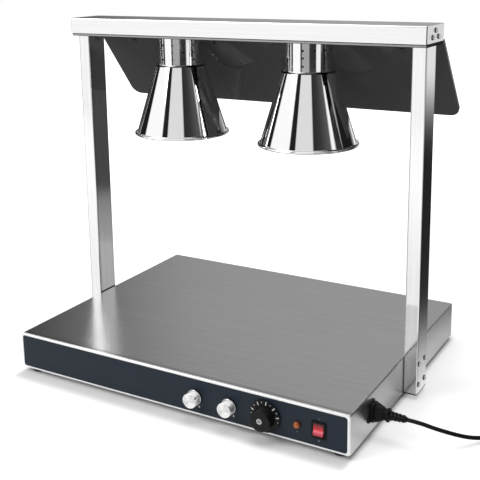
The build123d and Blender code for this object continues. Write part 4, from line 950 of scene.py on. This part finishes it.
class WARMER_OT_stage(bpy.types.Operator):
    """Set up floor, light and camera"""
    bl_idname = "warmer.stage"
    bl_label = "Stage"

    # Heading, dip and roll of the camera in degrees, and its place
    CAMERA_ANGLES = (30.076, 12.04, -0.806)
    CAMERA_PLACE = (0.7457, -1.28375, 0.6865)
    SENSOR = 36.0
    # Lamps: what they are aimed at, their places and sizes, and the top lamp's share of the key's power
    AIM = (0.0, 0.0, 0.25)
    KEY = ((-1.7, -2.0, 2.4), (1.8, 1.8))
    TOP = ((0.2, 0.3, 3.0), (2.4, 2.0))
    TOP_SHARE = 0.7
    # Place and size of the floor and of the near sheet over it
    FLOOR_PLACE = (0, 0, -0.6 * MM)
    FLOOR_SIZE = (16, 16, 1)
    SHEET_PLACE = (-0.85, -0.675, 0)
    SHEET_SIZE = (3.3, 3.15, 1)
    # Half width and half depth of the base's painted shadow on the floor, and how far its edge spreads
    SHADOW_HALF = (0.3, 0.242)
    SHADOW_STEEP = 2.2
    SHADOW_EDGE = 30 * MM
    # Depth at which the posts stand
    POSTS_DEPTH = -0.055

    # Levels of the studio's walls as bright metal shows them: azimuth in degrees from +X, level
    FRONT = (
        (-164, 1.0), (-112, 1.0), (-110, 0.015), (-97, 0.015), (-95, 0.74), (-54, 0.74), (-51, 0.025),
        (-32, 0.04), (-8, 0.1), (-4, 0.95), (3, 0.95), (6, 0.01), (18, 0.01), (20, 0.35), (24, 0.35),
    )
    HIGH = (
        (-180, 0.45), (-170, 0.5), *FRONT, (26, 0.02), (40, 0.3), (75, 0.42), (112, 0.45), (124, 0.43),
        (134, 0.06), (148, 0.03), (165, 0.4), (180, 0.45),
    )
    WALLS = (
        (-180, 0.012), (-167, 0.012), *FRONT, (26, 0.01), (60, 0.012), (78, 0.3), (112, 0.38), (122, 0.32),
        (134, 0.05), (145, 0.012), (156, 0.012), (158, 0.35), (163, 0.35), (165, 0.012), (180, 0.012),
    )
    LOW = (
        (-180, 0.02), (-167, 0.02), (-164, 1.0), (-106, 1.0), (-104, 0.05), (-96, 0.05), (-94, 0.6),
        (-53, 0.6), (-50, 0.08), (-9, 0.05), (56, 0.03), (66, 0.8), (86, 0.8), (98, 0.06), (140, 0.04),
        (156, 0.04), (159, 0.8), (164, 0.5), (167, 0.02), (180, 0.02),
    )
    NECK = (
        (-180, 0.02), (-167, 0.02), (-165, 0.8), (-161, 0.8), (-159, 0.015), (-148, 0.015), (-145, 1.0),
        (-105.5, 1.0), (-104, 0.03), (-98, 0.03), (-96, 0.36), (-62, 0.36), (-58, 0.03), (-27, 0.03),
        (-21, 0.9), (7, 0.9), (10, 0.01), (40, 0.015), (46, 0.06), (55, 0.06), (58, 0.03), (66, 0.8),
        (84, 0.8), (92, 0.1), (180, 0.02),
    )
    BELOW = (
        (-180, 0.2), (-170, 0.3), (-160, 1.0), (-92, 1.0), (-60, 0.8), (-49, 0.4), (36, 0.4), (44, 0.065),
        (60, 0.06), (66, 0.015), (80, 0.02), (90, 0.45), (135, 0.45), (150, 0.2), (180, 0.2),
    )
    # Heights between which one set of levels gives way to the next one up
    BANDS = ((-0.24, -0.11, NECK), (-0.09, -0.07, LOW), (-0.02, 0.02, WALLS), (0.235, 0.265, HIGH))
    # Heights where the deepest grey ends and where the ceiling begins
    DEEP = (-0.75, -0.55)
    CEILING = (0.55, 0.75)
    # Levels for light that bright metal throws on to bright metal
    AGAIN = ((-180, 1.0), (-95, 1.0), (-75, 0.12), (30, 0.12), (45, 0.65), (120, 0.65), (180, 1.0))
    # How far the near sheet is gone as bright metal shows it: metres to the back or the right, share
    FADE_BACK = ((0.1, 0.0), (0.3, 0.45), (0.45, 0.74), (0.6, 0.79), (0.82, 0.88), (0.9, 1.0))
    FADE_SIDE = ((-0.5, 0.9), (-0.36, 0.8), (-0.3, 0.0), (0.335, 0.0), (0.35, 0.3), (0.37, 0.5),
                 (0.39, 0.62), (0.415, 0.78), (0.45, 0.92), (0.5, 0.98), (0.7, 1.0))

    def camera(self, context):
        """Camera at the photo's angle."""
        studio = context.scene.warmer_studio
        azimuth, dip, roll = (math.radians(angle) for angle in self.CAMERA_ANGLES)
        lens = bpy.data.cameras.new("camera")
        lens.sensor_width = self.SENSOR
        lens.lens = studio.lens
        lens.shift_y = studio.shift
        camera = bpy.data.objects.new("camera", lens)
        context.collection.objects.link(camera)
        pose = Matrix.Translation(self.CAMERA_PLACE)
        for angle, axis in ((azimuth, "Z"), (QUARTER - dip, "X"), (roll, "Z")):
            pose = pose @ Matrix.Rotation(angle, 4, axis)
        camera.matrix_world = pose
        context.scene.camera = camera

    def levels(self, graph, value, reach, stops):
        """Grey by a value from zero to one, from stops placed between minus and plus the reach."""
        return graph.ramp(value, [(0.5 + place / (2 * reach), grey(level)) for place, level in stops])

    def world(self, context):
        """Light from all round, and the walls that bright metal shows."""
        world = bpy.data.worlds.new("studio")
        context.scene.world = world
        world.use_nodes = True
        graph = Graph(world.node_tree)
        heading = graph.coords("Generated")
        east, north, height = (graph.part(heading, axis) for axis in range(3))
        azimuth = graph.math("ARCTAN2", north, east) * (1 / TURN) + 0.5
        below = self.levels(graph, azimuth, 180, self.BELOW)
        walls = graph.mix(graph.span(height, *self.DEEP), grey(0.05), below)
        for low, high, stops in self.BANDS:
            share = graph.math("POWER", graph.span(height, low, high), 3.0)
            walls = graph.mix(share, walls, self.levels(graph, azimuth, 180, stops))
        again = graph.path("Glossy Depth") > 1.5
        thrown = self.levels(graph, azimuth, 180, self.AGAIN)
        walls = graph.mix(again * graph.span(height, 0.0, 0.1), walls, thrown)
        walls = graph.mix(graph.span(height, *self.CEILING), walls, graph.mix(again, WHITE, grey(0.25)))
        shown = graph.mix(graph.path("Is Glossy Ray"), grey(context.scene.warmer_studio.fill), walls)
        shown = graph.mix(graph.pictured(), shown, WHITE)
        sky = graph.add("Background", {"Color": shown})
        graph.add("OutputWorld", {"Surface": sky})

    def mirrored(self, finish, lift, away, painted_shadow, beside):
        """The near sheet as bright metal shows it, darker to the front and the left, with painted shade round
        the posts' feet and the base's painted shadow.
        """
        across = finish.at(0)
        depth = finish.at(1)
        ahead = finish.span(depth, -0.45, -0.3, 1.0, 0.0)
        dim = finish.larger(ahead, finish.span(across, -0.42, -0.32, 1.0, 0.0))
        pool = finish.span(away, 0.4, 1.4, 0.06, 0.21) * finish.span(across, -1.0, -0.4, 0.6, 1.0)
        # Painted shade on the sheet round the posts' feet
        foot = finish.span(abs(depth - self.POSTS_DEPTH), 0.035, 0.06, 1.0, 0.0)
        foot = foot * finish.span(abs(across), 0.324, 0.333, 1.0, 0.0)
        level = (lift + dim * (pool - lift)) * (1.0 - painted_shadow * (0.5 + 0.5 * beside)) * (1.0 - foot)
        return finish.path("Is Glossy Ray") * (finish.path("Glossy Depth") < 1.5) * level

    def paper(self, context, name, fades):
        """Pale paper, raised towards white for the camera; a sheet that fades is seen by bright metal too."""
        finish = Finish(name)
        across = finish.at(0)
        depth = finish.at(1)
        tint = finish.mix(finish.noise(300.0), grey(0.79), grey(0.81))
        away = finish.add("VectorMath", {0: finish.spot}, {"operation": "LENGTH"}, out="Value")
        lift = finish.span(away, 0.7, 2.2, context.scene.warmer_studio.floor_lift, 1.0)
        aside = finish.larger((abs(across) - self.SHADOW_HALF[0]) * self.SHADOW_STEEP, 0.0)
        before = finish.larger(abs(depth) - self.SHADOW_HALF[1], 0.0)
        gap = finish.math("SQRT", aside * aside + before * before)
        # Painted shadow: near the base the floor is not raised towards white
        painted_shadow = finish.span(gap, 0.0, self.SHADOW_EDGE, 1.0, 0.0)
        beside = finish.span(depth, -0.3, -0.1)
        glow = finish.pictured() * (1.0 - painted_shadow) * lift
        if fades:
            glow = glow + self.mirrored(finish, lift, away, painted_shadow, beside)
        sheet = finish.principled(
            Base_Color=tint, Roughness=1.0, Specular_IOR_Level=0.0,
            Emission_Color=finish.mix(glow, BLACK, WHITE), Emission_Strength=1.0)
        if fades:
            back = self.levels(finish, depth * 0.5 + 0.5, 1.0, self.FADE_BACK)
            side = self.levels(finish, across * 0.5 + 0.5, 1.0, self.FADE_SIDE)
            gone = (1.0 - (1.0 - side * beside) * (1.0 - back)) * finish.path("Is Glossy Ray")
            clear = finish.add("BsdfTransparent")
            sheet = finish.add("MixShader", {0: gone, 1: sheet, 2: clear})
        return finish.output(sheet)

    def ground(self, context):
        """Floor, and over it the near sheet that bright metal shows."""
        far = made("plane", "floor", size=1, location=self.FLOOR_PLACE, scale=self.FLOOR_SIZE)
        near = made("plane", "floor_sheet", size=1, location=self.SHEET_PLACE, scale=self.SHEET_SIZE)
        for sheet, fades in ((far, False), (near, True)):
            sheet.data.materials.append(self.paper(context, f"{sheet.name}_paper", fades))
        far.visible_glossy = False

    def lamp(self, name, place, size, power):
        """Large soft lamp aimed at the warmer."""
        bpy.ops.object.light_add(type="AREA", location=place)
        lamp = bpy.context.object
        lamp.name = name
        lamp.rotation_euler = (Vector(self.AIM) - Vector(place)).to_track_quat("-Z", "Y").to_euler()
        lamp.data.shape = "RECTANGLE"
        lamp.data.size, lamp.data.size_y = size
        lamp.data.energy = power
        return lamp

    def execute(self, context):
        context.scene.view_settings.view_transform = "Standard"
        self.camera(context)
        self.world(context)
        self.ground(context)
        power = context.scene.warmer_studio.key
        self.lamp("key", *self.KEY, power)
        top = self.lamp("top", *self.TOP, self.TOP_SHARE * power)
        top.visible_glossy = False
        return {"FINISHED"}


class WARMER_PT_panel(bpy.types.Panel):
    """Lists the warmer's settings and steps"""
    bl_idname = "WARMER_PT_panel"
    bl_label = "Food warmer"
    bl_space_type = "VIEW_3D"
    bl_region_type = "UI"
    bl_category = "Warmer"

    def draw(self, context):
        for setting in SETTINGS:
            group = getattr(context.scene, setting)
            column = self.layout.column(align=True)
            for name in group.bl_rna.properties.keys():
                if name not in ("rna_type", "name"):
                    column.prop(group, name)
        column = self.layout.column(align=True)
        for step in STEPS:
            column.operator(step.bl_idname)


SETTINGS = {"warmer_finishes": WarmerFinishes, "warmer_sizes": WarmerSizes, "warmer_studio": WarmerStudio}
STEPS = (WARMER_OT_sheet_metal, WARMER_OT_fasteners, WARMER_OT_lamps, WARMER_OT_guard, WARMER_OT_controls,
         WARMER_OT_inside, WARMER_OT_dial_marks, WARMER_OT_panel_marks, WARMER_OT_cord, WARMER_OT_stage)
CLASSES = (*SETTINGS.values(), *STEPS, WARMER_PT_panel)


def register():
    for kind in CLASSES:
        bpy.utils.register_class(kind)
    for name, group in SETTINGS.items():
        setattr(bpy.types.Scene, name, PointerProperty(type=group))


def unregister():
    for name in SETTINGS:
        delattr(bpy.types.Scene, name)
    for kind in reversed(CLASSES):
        bpy.utils.unregister_class(kind)


def main():
    register()
    for step in STEPS:
        getattr(bpy.ops.warmer, step.bl_idname.partition(".")[2])()


if __name__ == "__main__":
    main()
